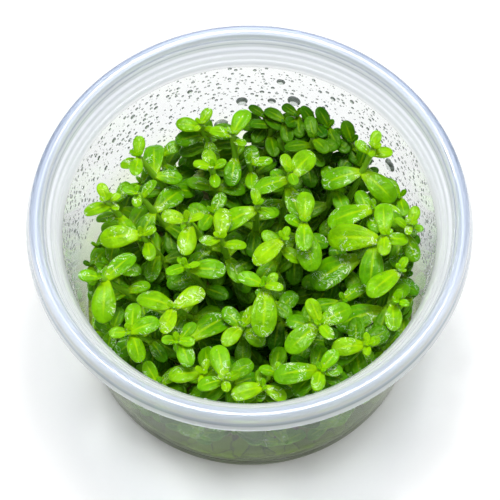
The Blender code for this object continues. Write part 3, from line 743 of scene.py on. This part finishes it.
def cupProfile():
    # from the axis up the inside, over the rim, down the outside and back: radius, height, rounding
    top = cup["height"]
    rim = cup["rimRadius"]
    return [
        (0.0, 1.8, 0), (wallInside(1.8), 1.8, 1.9),
        (43.12, top - 8.5, 0.3), (43.45, top - 8.1, 0.25), (43.95, top - 7.1, 0.3),
        (44.35, top - 6.95, 0.2), (44.75, top - 5.9, 0.3), (45.25, top - 5.6, 0.2),
        (45.55, top - 4.6, 0.3), (46.15, top - 4.2, 0.25), (46.45, top - 2.2, 0.3),
        (47.0, top - 1.9, 0.2), (47.15, top - 0.35, 0.45), (48.1, top, 0.7), (49.3, top, 0.8),
        (rim, top - 0.7, 0.6), (rim + 0.15, top - 1.7, 0.3), (rim + 0.95, top - 4.2, 0.3),
        (rim + 1.0, top - 4.6, 0.15), (rim + 0.25, top - 4.6, 0.15), (rim - 0.75, top - 1.9, 0.5),
        (48.3, top - 1.2, 0.6), (47.8, top - 2.2, 0.4), (47.2, top - 4.4, 0.5),
        (46.1, top - 5.6, 0.4), (44.0, top - 8.6, 0.8),
        (cup["baseRadius"], 1.0, 0.9), (cup["baseRadius"] - 1.0, 0.0, 0.4), (38.1, 0.0, 0.3),
        (37.5, 0.8, 0.3), (0.0, 0.8, 0),
    ]


# Condensation: drops over the wall from the shoulder down, large ones where the photo has them
drops = {
    "seed": 5,
    "count": 4500,
    "topHeight": 48.6,
    "lowHeight": 19.0,
    "frontClear": 21.0,    # the wall nearest the camera is dry up to this much higher
    "smallest": 0.15,
    "largest": 0.56,
    "bulge": 0.5,
    "bigBulge": 0.42,
    "apart": 1.25,         # room about a drop, as a share of its radius
    "wallRadius": 42.0,    # the drops are spread on a wall unrolled at this radius
    "girth": 263.9,
    "halfGirth": 131.9,
    "around": 7,
    "rings": (0, 38, 66),      # degrees up the dome
    "wide": 0.58,              # drops over this radius have the finer domes below
    "wideAround": 20,
    "wideRings": (0, 14, 28, 42, 56, 72),
    # angle round the wall in degrees, height, radius, and height as a share of width
    "big": (
        (99.6, 23.8, 1.9, 1.5), (35.3, 33.1, 1.8, 1.3), (92.2, 34.0, 1.5, 1.2), (74.6, 36.2, 1.7, 1.3),
        (82.1, 34.5, 1.1, 1.1), (79.3, 43.5, 1.1, 1.1), (130.7, 43.7, 0.7, 1.2), (139.7, 41.0, 0.7, 1.3),
        (145.6, 33.7, 0.65, 1.3), (125.8, 40.8, 0.55, 1.1), (121.8, 41.3, 0.6, 1.1), (126.1, 35.5, 0.65, 1.2),
        (133.4, 35.2, 0.6, 1.3), (109.5, 42.1, 0.75, 1.2), (109.2, 20.5, 1.5, 1.2), (85.5, 38.2, 0.6, 1.1),
        (69.4, 24.6, 0.8, 1.1), (65.3, 30.2, 0.7, 1.2), (62.6, 24.5, 0.9, 1.2), (57.2, 28.7, 1.1, 1.1),
        (61.3, 42.9, 0.7, 1.3), (54.5, 45.8, 0.6, 1.3), (83.0, 28.9, 1.2, 1.1), (147.6, 40.8, 0.6, 1.4),
        (171.0, 34.1, 0.6, 1.4), (177.7, 34.4, 0.5, 1.5),
    ),
}


def dropSkins(values, around, lifts):
    # domes on the wall: rings at the given degrees of a flattened ball, and its pole
    angle, height, radius, stretch, bulge = values
    turn = np.linspace(0, 2 * math.pi, around, endpoint=False)
    lift = np.radians(lifts)
    sideways = np.concatenate([np.outer(np.cos(lift), np.cos(turn)).ravel(), [0.0]])
    upward = np.concatenate([np.outer(np.cos(lift), np.sin(turn)).ravel(), [0.0]])
    inward = np.concatenate([np.repeat(np.sin(lift), around), [1.0]])
    wall = wallInside(height) + 0.06
    level = np.zeros_like(angle)
    east = np.stack([np.sin(angle), -np.cos(angle), level], -1)
    inner = np.stack([-np.cos(angle), -np.sin(angle), level], -1)
    centre = np.stack([wall * np.cos(angle), wall * np.sin(angle), height], -1)
    r = radius[:, None, None]
    skins = centre[:, None] + r * sideways[None, :, None] * east[:, None]
    skins = skins + r * upward[None, :, None] * stretch[:, None, None] * np.array([0.0, 0.0, 1.0])
    skins = skins + r * inward[None, :, None] * bulge[:, None, None] * inner[:, None]
    one = tubeFaces(len(lift), around, pointed=True)
    faces = [[v + n * skins.shape[1] for v in face] for n in range(len(angle)) for face in one]
    return skins.reshape(-1, 3), faces


def plug(tree, socket, value):
    # a socket is linked from another socket, or holds a plain value
    if isinstance(value, bpy.types.NodeSocket):
        tree.links.new(value, socket)
    else:
        socket.default_value = value


def addNode(tree, kind, settings=None, inputs=None):
    node = tree.nodes.new(kind)
    for key, value in (settings or {}).items():
        setattr(node, key, value)
    for key, value in (inputs or {}).items():
        plug(tree, node.inputs[key], value)
    return node


def maths(tree, operation, a, b=0.0, c=0.0):
    return addNode(tree, "ShaderNodeMath", {"operation": operation}, {0: a, 1: b, 2: c}).outputs[0]


def times(tree, a, b):
    return maths(tree, "MULTIPLY", a, b)


def larger(tree, a, b):
    return maths(tree, "MAXIMUM", a, b)


def ramp(tree, value, low, high, start=0.0, end=1.0, steps="SMOOTHSTEP"):
    inputs = {"Value": value, "From Min": low, "From Max": high, "To Min": start, "To Max": end}
    return addNode(tree, "ShaderNodeMapRange", {"interpolation_type": steps}, inputs).outputs["Result"]


def mixed(tree, factor, a, b):
    return addNode(tree, "ShaderNodeMix", {"data_type": "RGBA"}, {0: factor, 6: a, 7: b}).outputs[2]


def noise(tree, point, scale, detail, distortion=0.0):
    inputs = {"Vector": point, "Scale": scale, "Detail": detail, "Distortion": distortion}
    return addNode(tree, "ShaderNodeTexNoise", None, inputs).outputs["Fac"]


def bump(tree, height, strength, distance, **normal):
    inputs = {"Strength": strength, "Distance": distance, "Height": height, **normal}
    return addNode(tree, "ShaderNodeBump", None, inputs).outputs["Normal"]


def split(tree, vector):
    return addNode(tree, "ShaderNodeSeparateXYZ", None, {"Vector": vector}).outputs


def stored(tree, name):
    # the three values of an attribute of the mesh
    return split(tree, addNode(tree, "ShaderNodeAttribute", {"attribute_name": name}).outputs["Vector"])


def objectPoint(tree):
    return addNode(tree, "ShaderNodeTexCoord").outputs["Object"]


def redOf(tree, color):
    return addNode(tree, "ShaderNodeSeparateColor", None, {"Color": color}).outputs["Red"]


def colour(*screen):
    # screen values 0 to 255 as linear light
    linear = (v / 255 / 12.92 if v < 11 else ((v / 255 + 0.055) / 1.055) ** 2.4 for v in screen)
    return (*linear, 1.0)


def newMaterial(name):
    material = bpy.data.materials.new(name)
    material.use_nodes = True
    return material, material.node_tree, material.node_tree.nodes["Principled BSDF"]


def setShader(tree, shader, values):
    for key, value in values.items():
        plug(tree, shader.inputs[key], value)


# Shared effects, built once as node groups
def nodeGroup(name, inputs, outputs):
    # an input with a value is a number, and one with none is a point
    tree = bpy.data.node_groups.new(name, "ShaderNodeTree")
    for label, value in inputs.items():
        kind = "NodeSocketVector" if value is None else "NodeSocketFloat"
        socket = tree.interface.new_socket(label, in_out="INPUT", socket_type=kind)
        if value is not None:
            socket.default_value = value
    for label, kind in outputs.items():
        tree.interface.new_socket(label, in_out="OUTPUT", socket_type="NodeSocket" + kind)
    return tree, tree.nodes.new("NodeGroupInput").outputs, tree.nodes.new("NodeGroupOutput").inputs


def placed(tree, group, inputs):
    return addNode(tree, "ShaderNodeGroup", {"node_tree": group}, inputs).outputs


# Screen colours of the living pieces, the first three from a dull tone to a bright one
greens = {
    "old": ((40, 98, 0), (74, 128, 0)),
    "grown": ((84, 158, 0), (116, 184, 0)),
    "fresh": ((116, 190, 0), (152, 208, 0)),
    "mottle": (20, 90, 0),
    "veins": (184, 226, 4),
    "stem": (160, 210, 40),
    # white of the painted glints on the leaves
    "paintedGlintWhite": (240, 250, 225),
}


def greenGroup():
    # green of a living piece, from its tone, its age together with painted shade, and small mottling
    tree, given, result = nodeGroup(
        "living green", {"Tone": 0.5, "Young": 0.5, "Point": None}, {"Color": "Color", "Mottle": "Float"},
    )
    mottle = noise(tree, given["Point"], 420.0, 3.0)
    old, grown, fresh = (
        mixed(tree, given["Tone"], *(colour(*shade) for shade in greens[age]))
        for age in ("old", "grown", "fresh")
    )
    base = mixed(tree, ramp(tree, given["Young"], 0.0, 0.5), old, grown)
    base = mixed(tree, ramp(tree, given["Young"], 0.5, 1.0), base, fresh)
    darker = mixed(tree, 0.3, base, colour(*greens["mottle"]))
    plug(tree, result["Color"], mixed(tree, ramp(tree, mottle, 0.4, 0.65), base, darker))
    plug(tree, result["Mottle"], mottle)
    return tree


def filmNormal(tree, point, size, strength):
    # fine dents of the water film, which break up the reflections
    wide = noise(tree, point, size, 2.0, 0.6)
    beads = addNode(tree, "ShaderNodeTexVoronoi", {"feature": "SMOOTH_F1"},
                    {"Vector": point, "Scale": size, "Smoothness": 0.4}).outputs["Distance"]
    return bump(tree, maths(tree, "ADD", wide, times(tree, beads, -0.45)), strength, 0.00022)


def wetFilmAndGlints():
    # film of water: its dents, and painted glints, thin white lines and dots where its rims would catch the
    # light
    tree, given, result = nodeGroup(
        "wet film", {"Point": None, "Size": 900.0, "Strength": 0.4}, {"Normal": "Vector", "Rim": "Float"},
    )
    point, size = given["Point"], given["Size"]
    wander = noise(tree, point, times(tree, size, 0.42), 3.0, 1.2)
    line = ramp(tree, maths(tree, "ABSOLUTE", maths(tree, "SUBTRACT", wander, 0.5)), 0.004, 0.02, 1.0, 0.0)
    patch = noise(tree, point, times(tree, size, 0.23), 1.0)
    fine = times(tree, size, 1.25)
    speck = addNode(tree, "ShaderNodeTexVoronoi", None, {"Vector": point, "Scale": fine}).outputs
    chosen = ramp(tree, redOf(tree, speck["Color"]), 0.8, 0.9)
    dot = times(tree, ramp(tree, speck["Distance"], 0.12, 0.26, 1.0, 0.0), chosen)
    rim = times(tree, line, ramp(tree, patch, 0.52, 0.6))
    rim = larger(tree, rim, times(tree, dot, ramp(tree, patch, 0.45, 0.55)))
    plug(tree, result["Normal"], filmNormal(tree, point, size, given["Strength"]))
    plug(tree, result["Rim"], rim)
    return tree


def leafMaterial(green, wet):
    material, tree, shader = newMaterial("bacopa leaf")
    place = stored(tree, "bladePlace")
    tone, young, _ = stored(tree, "bladeLook")
    point = objectPoint(tree)
    living = placed(tree, green, {"Tone": tone, "Young": young, "Point": point})
    along = place["X"]
    across = maths(tree, "ABSOLUTE", place["Y"])
    ribWidth = maths(tree, "MULTIPLY_ADD", along, -0.17, 0.21)
    rib = ramp(tree, across, times(tree, ribWidth, 0.25), ribWidth, 1.0, 0.0)
    wavering = maths(tree, "MULTIPLY_ADD", living["Mottle"], 0.5, across)
    stripes = maths(tree, "COSINE", times(tree, wavering, 19.0))
    veins = maths(tree, "POWER", maths(tree, "MULTIPLY_ADD", stripes, 0.5, 0.5), 5.0)
    veins = times(tree, veins, ramp(tree, along, 0.35, 0.95, 0.4, 0.0))
    lines = larger(tree, times(tree, rib, ramp(tree, along, 0.55, 0.95, 1.0, 0.1)), veins)
    foot = ramp(tree, along, 0.05, 0.4, 1.0, 0.0)
    edge = ramp(tree, across, 0.84, 0.97)
    light = larger(tree, times(tree, lines, 0.5), times(tree, foot, 0.5))
    light = larger(tree, light, times(tree, edge, 0.5))
    light = times(tree, light, ramp(tree, young, 0.0, 0.6, 0.45, 1.0))
    base = mixed(tree, light, living["Color"], colour(*greens["veins"]))
    size, strength = 1050.0, 0.85
    film = placed(tree, wet, {"Point": point, "Size": size, "Strength": strength})
    # painted glints: white lines and dots mixed into the leaf's colour, strongest on the fresh leaves
    paintedGlintShare = times(tree, film["Rim"], ramp(tree, young, 0.1, 0.45, 0.03, 0.8))
    relief = maths(tree, "MULTIPLY_ADD", lines, -0.6, living["Mottle"])
    setShader(tree, shader, {
        "Base Color": mixed(tree, paintedGlintShare, base, colour(*greens["paintedGlintWhite"])),
        "Roughness": 0.3, "IOR": 1.36, "Normal": bump(tree, relief, 0.5, 0.00018, Normal=film["Normal"]),
        "Specular IOR Level": 0.3, "Specular Tint": (0.75, 1.0, 0.3, 1.0),
        "Coat Weight": ramp(tree, young, 0.05, 0.45, 0.04, 0.26), "Coat Roughness": 0.03, "Coat IOR": 1.33,
        "Coat Normal": filmNormal(tree, point, size, strength),
        "Subsurface Weight": 0.16, "Subsurface Radius": (0.5, 1.0, 0.05), "Subsurface Scale": 0.0008,
    })
    return material


def stemMaterial(green, wet):
    material, tree, shader = newMaterial("bacopa stem")
    tone, young, _ = stored(tree, "bladeLook")
    point = objectPoint(tree)
    living = placed(tree, green, {"Tone": tone, "Young": young, "Point": point})
    film = placed(tree, wet, {"Point": point, "Size": 700.0, "Strength": 0.3})
    setShader(tree, shader, {
        "Base Color": mixed(tree, 0.4, living["Color"], colour(*greens["stem"])),
        "Roughness": 0.3, "Normal": film["Normal"], "Coat Weight": 0.5, "Coat Roughness": 0.06,
        "Subsurface Weight": 0.3, "Subsurface Radius": (0.6, 1.0, 0.12), "Subsurface Scale": 0.001,
    })
    return material


def paintedShadeRamp(tree, place, paintedRimShades):
    # painted rim shading: colour stops in millimetres, spread over the ramp's 0 to 1
    low, high = paintedRimShades[0][0], paintedRimShades[-1][0]
    share = ramp(tree, place, low, high, steps="LINEAR")
    node = addNode(tree, "ShaderNodeValToRGB", None, {"Fac": share})
    stops = node.color_ramp.elements
    stops[0].color = colour(*paintedRimShades[0][1])
    stops[-1].color = colour(*paintedRimShades[-1][1])
    for where, shade in paintedRimShades[1:-1]:
        stops.new((where - low) / (high - low)).color = colour(*shade)
    return node.outputs["Color"]


def plasticMaterial(name, values):
    material, tree, shader = newMaterial(name)
    point = objectPoint(tree)
    at = split(tree, point)
    if values["tint"]:
        # painted green cast low down, for the plants that stand close behind the wall
        share = ramp(tree, at["Z"], *cup["paintedGreenCastHeights"])
        tint = mixed(tree, share, values["paintedGreenCast"] + (1.0,), values["tint"] + (1.0,))
    else:
        # the rim's colour is painted shading, highlights and edge reflections
        along = stored(tree, "bandPlace")["X"]
        edges = [paintedShadeRamp(tree, along, cup["paintedRimShades"] + cup[edge]) for edge in ("paintedFrontEdge", "paintedBackEdge")]
        tint = mixed(tree, ramp(tree, at["Y"], *cup["paintedEdgeTurns"]), *edges)
    cloud = noise(tree, point, 38.0, 2.0)
    setShader(tree, shader, {
        "Base Color": tint, "IOR": values["refraction"],
        "Roughness": ramp(tree, cloud, 0.3, 0.7, values["roughness"], values["roughness"] + 0.015),
        "Transmission Weight": values["clearness"], "Metallic": 0.0,
        "Normal": bump(tree, cloud, 0.05, 0.0003),
    })
    # thin plastic lets lamps through, a little dimmed at each skin
    through = addNode(tree, "ShaderNodeBsdfTransparent", None, {"Color": values["lampsPass"] + (1.0,)})
    lamps = addNode(tree, "ShaderNodeLightPath").outputs["Is Shadow Ray"]
    both = addNode(tree, "ShaderNodeMixShader", None, {0: lamps, 1: shader.outputs[0], 2: through.outputs[0]})
    plug(tree, tree.nodes["Material Output"].inputs["Surface"], both.outputs[0])
    return material


def waterMaterial():
    material, tree, shader = newMaterial("condensation")
    setShader(tree, shader, {
        "Base Color": (0.86, 0.9, 0.87, 1.0), "Roughness": 0.0, "IOR": 1.33, "Transmission Weight": 0.86,
        "Metallic": 0.0,
    })
    return material


def gelMaterial():
    material, tree, shader = newMaterial("culture gel")
    point = objectPoint(tree)
    shades = {key: colour(*gel[key]) for key in (
        "dull", "pale", "grain", "pressedDark", "pressedLight", "paintedGapShade",
    )}
    grain = noise(tree, point, 900.0, 3.0)
    cloud = ramp(tree, noise(tree, point, 60.0, 4.0), 0.35, 0.65)
    base = mixed(tree, cloud, shades["dull"], shades["pale"])
    base = mixed(tree, ramp(tree, grain, 0.58, 0.72, 0.0, 0.45), base, shades["grain"])
    # at the wall the gel is full of leaves pressed flat: swayed cells, with painted shade where they meet
    sway = addNode(tree, "ShaderNodeTexNoise", None, {"Vector": point, "Scale": 260.0, "Detail": 1.0})
    swayed = addNode(tree, "ShaderNodeVectorMath", {"operation": "MULTIPLY_ADD"},
                     {0: sway.outputs["Color"], 1: (0.004, 0.004, 0.004), 2: point}).outputs["Vector"]
    pattern = {"Vector": swayed, "Scale": 230.0}
    cells = addNode(tree, "ShaderNodeTexVoronoi", None, pattern).outputs["Color"]
    gaps = addNode(tree, "ShaderNodeTexVoronoi", {"feature": "DISTANCE_TO_EDGE"}, pattern).outputs["Distance"]
    tone = ramp(tree, redOf(tree, cells), 0.1, 0.9)
    pressed = mixed(tree, tone, shades["pressedDark"], shades["pressedLight"])
    pressed = mixed(tree, ramp(tree, gaps, 0.0, 0.09, 0.6, 0.0), pressed, shades["paintedGapShade"])
    radius = addNode(tree, "ShaderNodeVectorMath", {"operation": "LENGTH"}, {0: point}).outputs["Value"]
    setShader(tree, shader, {
        "Base Color": mixed(tree, ramp(tree, radius, *gel["pressedFrom"]), base, pressed),
        "Roughness": 0.22, "IOR": 1.34, "Normal": bump(tree, grain, 0.35, 0.0003),
        "Transmission Weight": 0.35, "Metallic": 0.0,
    })
    return material


def allLeaves(stem, chance):
    # every leaf of a stem, and the bud of two small ones at its tip
    nodes = [node for node in stem["nodes"] if node["leaves"]]
    leaves = [(node["point"], *leaf, node["rank"]) for node in nodes for leaf in node["leaves"]]
    tip, upward = atLength(stem["path"], stem["lengths"], 0.0)
    crossing = min(nodes, key=lambda node: node["where"])["leaves"][0][0] + 90 if nodes else 0.0
    for turn in (0, 180):
        size = stemShape["budLength"] * chance.uniform(0.8, 1.15)
        foot = tip - upward * stemShape["budSink"]
        leaves.append((foot, crossing + turn, stemShape["budPitch"], size, 0))
    return leaves


def freshnessAndPaintedShade(foot, rank, shade):
    # by rank, with painted shade for the shoot's shade share and for depth, except low down at the wall
    depthShade = np.interp(foot[2], look["depths"], look["paintedDepthShades"])
    if foot[2] < look["paintedLightBelow"] and math.hypot(foot[0], foot[1]) > look["wallFrom"]:
        depthShade = 1.0
    return look["ranks"][rank] * shade * depthShade


def shootParts(number, stems, chance):
    # skins of a shoot and its twigs, tubes first, each with its faces, its place and its look
    # painted shade: the share darkens the shoot's leaves and stems
    shade = look["shaded"] if number >= look["shadedFrom"] else 1.0
    if number + 1 in look["paintedShadowCorner"]:
        shade = look["dark"]
    shootTone = chance.uniform(0.2, 0.8)
    tubes = []
    blades = []
    for stem in stems:
        if stem["owner"] != number:
            continue
        thickness = 1.0 if stem is stems[number] else look["twig"]
        tubes.append((*stemTube(stem, thickness), (shootTone, 0.55 * shade, 0.0)))
        for foot, heading, pitch, length, rank in allLeaves(stem, chance):
            odd = chance.uniform(-1, 1, 3)
            odd[0] = 0.35 + 0.65 * odd[0]
            young = freshnessAndPaintedShade(foot, rank, shade) + chance.uniform(-look["youthSpread"], look["youthSpread"])
            tone = shootTone + chance.uniform(-look["greenSpread"], look["greenSpread"])
            bladeLook = (np.clip(tone, 0, 1), max(young, 0.0), 0.0)
            blades.append((*leafBlade(foot, heading, pitch, length, odd), bladeLook))
    return tubes, blades


def makePlants(stems):
    green = greenGroup()
    wet = wetFilmAndGlints()
    materials = [leafMaterial(green, wet), stemMaterial(green, wet)]
    chance = np.random.default_rng(look["seed"])
    for number in range(len(shoots)):
        tubes, blades = shootParts(number, stems, chance)
        parts = tubes + blades
        verts, faces = joined(parts)
        stemFaces = sum(len(part[1]) for part in tubes)
        kinds = [1] * stemFaces + [0] * (len(faces) - stemFaces)
        attributes = {
            "bladePlace": np.concatenate([part[2] for part in parts]),
            "bladeLook": np.concatenate([np.tile(part[3], (len(part[0]), 1)) for part in parts]),
        }
        name = f"bacopa_shoot_{number + 1:02d}"
        piece = smoothSkin(newPiece(name + "_plant", verts, faces, materials, kinds, attributes))
        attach(piece, "root")
        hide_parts(name)


def makeCup():
    # the rim's painted shading bands are placed by the distance along the profile from the middle of the
    # crest
    profile = rounded(cupProfile(), cup["cornerPoints"])
    verts, faces = revolved(profile, cup["steps"])
    run = distances(profile)
    run -= run[profile[:, 1] > cup["height"] - 0.01].mean()
    place = np.zeros((len(verts), 3))
    place[:-2, 0] = np.repeat(run[1:-1], cup["steps"])
    finishes = [
        plasticMaterial("clear plastic", cup["wallFinish"]), plasticMaterial("milky rim", cup["rimFinish"]),
        plasticMaterial("frosted foot", cup["footFinish"]),
    ]
    rimFrom = cup["height"] - cup["shoulderDrop"] - cup["rimStart"]
    heights = [[verts[v][2] for v in face] for face in faces]
    kinds = [2 if max(face) < cup["footTop"] else int(min(face) > rimFrom) for face in heights]
    piece = newPiece("clear_cup", verts, faces, finishes, kinds, {"bandPlace": place})
    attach(piece, "root")
    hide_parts("cup")


def makeGel():
    # a disc whose top is lifted by crossed sine waves, fading out at its edge
    bottom = gel["bottom"]
    corner = gel["cornerHeight"]
    facet = math.cos(math.pi / cup["solidSteps"])
    edge = wallInside(gel["top"]) * facet - gel["gap"]
    profile = [(r, gel["top"]) for r in np.linspace(0, edge, gel["rings"])]
    profile += [
        (wallInside(corner) * facet - gel["gap"], corner),
        (wallInside(bottom) * facet - gel["cornerInset"], bottom), (0.0, bottom),
    ]
    verts, faces = revolved(profile, gel["steps"])
    onTop = verts[:, 2] > gel["top"] - 0.01
    x, y = verts[:, 0], verts[:, 1]
    lump = np.sin(0.55 * x + 0.4 * y) * np.sin(0.47 * y - 0.3 * x)
    lump = lump + 0.6 * np.sin(1.3 * x + 0.2) * np.cos(1.1 * y)
    fade = np.clip((edge - np.hypot(x, y)) / gel["lumpFade"], 0, 1)
    verts[:, 2] += np.where(onTop, (lump - gel["lumpLevel"]) * gel["lumps"] * fade, 0.0)
    piece = newPiece("culture_gel_bed", verts, faces, [gelMaterial()])
    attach(piece, "root")
    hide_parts("culture_gel")


def makeDrops():
    # strewn at random, large ones rarer by a cube; a drop too near a larger one is left out
    chance = np.random.default_rng(drops["seed"])
    count = drops["count"]
    angle = chance.uniform(0, 2 * math.pi, count)
    share = chance.uniform(0, 1, count) ** 0.85
    low = drops["lowHeight"] + drops["frontClear"] * np.clip(0.4 - 1.2 * np.sin(angle), 0.0, 1.0)
    height = low + (drops["topHeight"] - low) * share
    spread = chance.uniform(0, 1, count)
    radius = drops["smallest"] + (drops["largest"] - drops["smallest"]) * spread**3
    stretch = chance.uniform(0.9, 1.35, count)
    strewn = np.array([angle, height, radius, stretch, np.full(count, drops["bulge"])])
    big = [(math.radians(turn), *rest, drops["bigBulge"]) for turn, *rest in drops["big"]]
    values = np.concatenate([np.array(big).T, strewn], 1)
    angle, height, radius = values[:3]
    flatX = angle * drops["wallRadius"]
    kept = []
    for i in np.argsort(-radius):
        room = radius[kept] + radius[i] * drops["apart"]
        across = (flatX[kept] - flatX[i] + drops["halfGirth"]) % drops["girth"] - drops["halfGirth"]
        if (np.hypot(across, height[kept] - height[i]) > room).all():
            kept.append(i)
    values = values[:, kept]
    wide = values[2] > drops["wide"]
    verts, faces = joined([
        dropSkins(values[:, wide], drops["wideAround"], drops["wideRings"]),
        dropSkins(values[:, ~wide], drops["around"], drops["rings"]),
    ])
    piece = newPiece("condensation", verts, faces, [waterMaterial()])
    piece.visible_shadow = False
    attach(piece, "root")
    print("condensation:", len(kept), "drops")


studio = {
    "floorSize": 3.0,
    "floorDrop": 0.02,     # millimetres below the cup's foot
    "floorTones": ((0.93, 0.93, 0.935), (0.95, 0.95, 0.95)),
    "sky": 0.36,
    "horizon": 0.46,
    "skyFrom": (0.02, 0.55),
    "key": {"at": (0.02, 0.19, 0.88), "size": 0.30, "power": 6.1},
    "fill": {"at": (0.30, -0.08, 0.86), "size": 0.40, "power": 0.5},
    "glint": {"at": (-0.25, 0.30, 0.80), "size": 0.05, "power": 0.8},
    # camera place in millimetres and its three directions, fitted to the rim and foot circles
    "cameraAt": (0.0, -170.741, 396.981),
    "right": (0.999969, -0.007199, -0.003148),
    "up": (0.007854, 0.903632, 0.428238),
    "forward": (0.000238, 0.428250, -0.903660),
    "lens": 120.96,
}


def makeFloor():
    half = studio["floorSize"] / 2 / mm
    corners = np.array([(-half, -half, 0), (half, -half, 0), (half, half, 0), (-half, half, 0)], float)
    corners[:, 2] = -studio["floorDrop"]
    material, tree, shader = newMaterial("studio floor")
    grain = ramp(tree, noise(tree, objectPoint(tree), 5.0, 2.0), 0.3, 0.7)
    tone = mixed(tree, grain, *(shade + (1.0,) for shade in studio["floorTones"]))
    setShader(tree, shader, {"Base Color": tone, "Roughness": 0.7, "Specular IOR Level": 0.2})
    newPiece("floor", corners, [[0, 1, 2, 3]], [material], smooth=False)


def makeSky():
    world = bpy.data.worlds.new("studio")
    bpy.context.scene.world = world
    world.use_nodes = True
    sky = world.node_tree
    height = split(sky, addNode(sky, "ShaderNodeTexCoord").outputs["Generated"])["Z"]
    background = sky.nodes["Background"].inputs
    plug(sky, background["Strength"], ramp(sky, height, *studio["skyFrom"], studio["horizon"], studio["sky"]))
    plug(sky, background["Color"], (1.0, 1.0, 1.0, 1.0))


def makeLamps():
    # square lamps that face the cup's foot
    for name in ("key", "fill", "glint"):
        values = studio[name]
        light = bpy.data.lights.new(name, "AREA")
        light.energy = values["power"]
        light.size = values["size"]
        lamp = bpy.data.objects.new(name, light)
        bpy.context.scene.collection.objects.link(lamp)
        lamp.location = values["at"]
        x, y, z = values["at"]
        lamp.rotation_euler = (math.acos(z / math.hypot(x, y, z)), 0.0, math.atan2(y, x) + math.pi / 2)


def makeCamera():
    camera = bpy.data.objects.new("camera", bpy.data.cameras.new("camera"))
    bpy.context.scene.collection.objects.link(camera)
    right, up, forward = (np.array(studio[key]) for key in ("right", "up", "forward"))
    turn = np.eye(4)
    turn[:3, 0], turn[:3, 1], turn[:3, 2] = right, up, -forward
    turn[:3, 3] = np.array(studio["cameraAt"]) * mm
    camera.matrix_world = Matrix(turn.tolist())
    camera.data.lens = studio["lens"]
    camera.data.clip_start = 0.01
    bpy.context.scene.camera = camera
    bpy.context.scene.view_settings.view_transform = "Standard"


makeFloor()
makeSky()
makeLamps()
makeCamera()
print("studio made")
makePlants(planShoots())
print("plants made")
makeCup()
makeGel()
makeDrops()
print("cup, gel and condensation made")
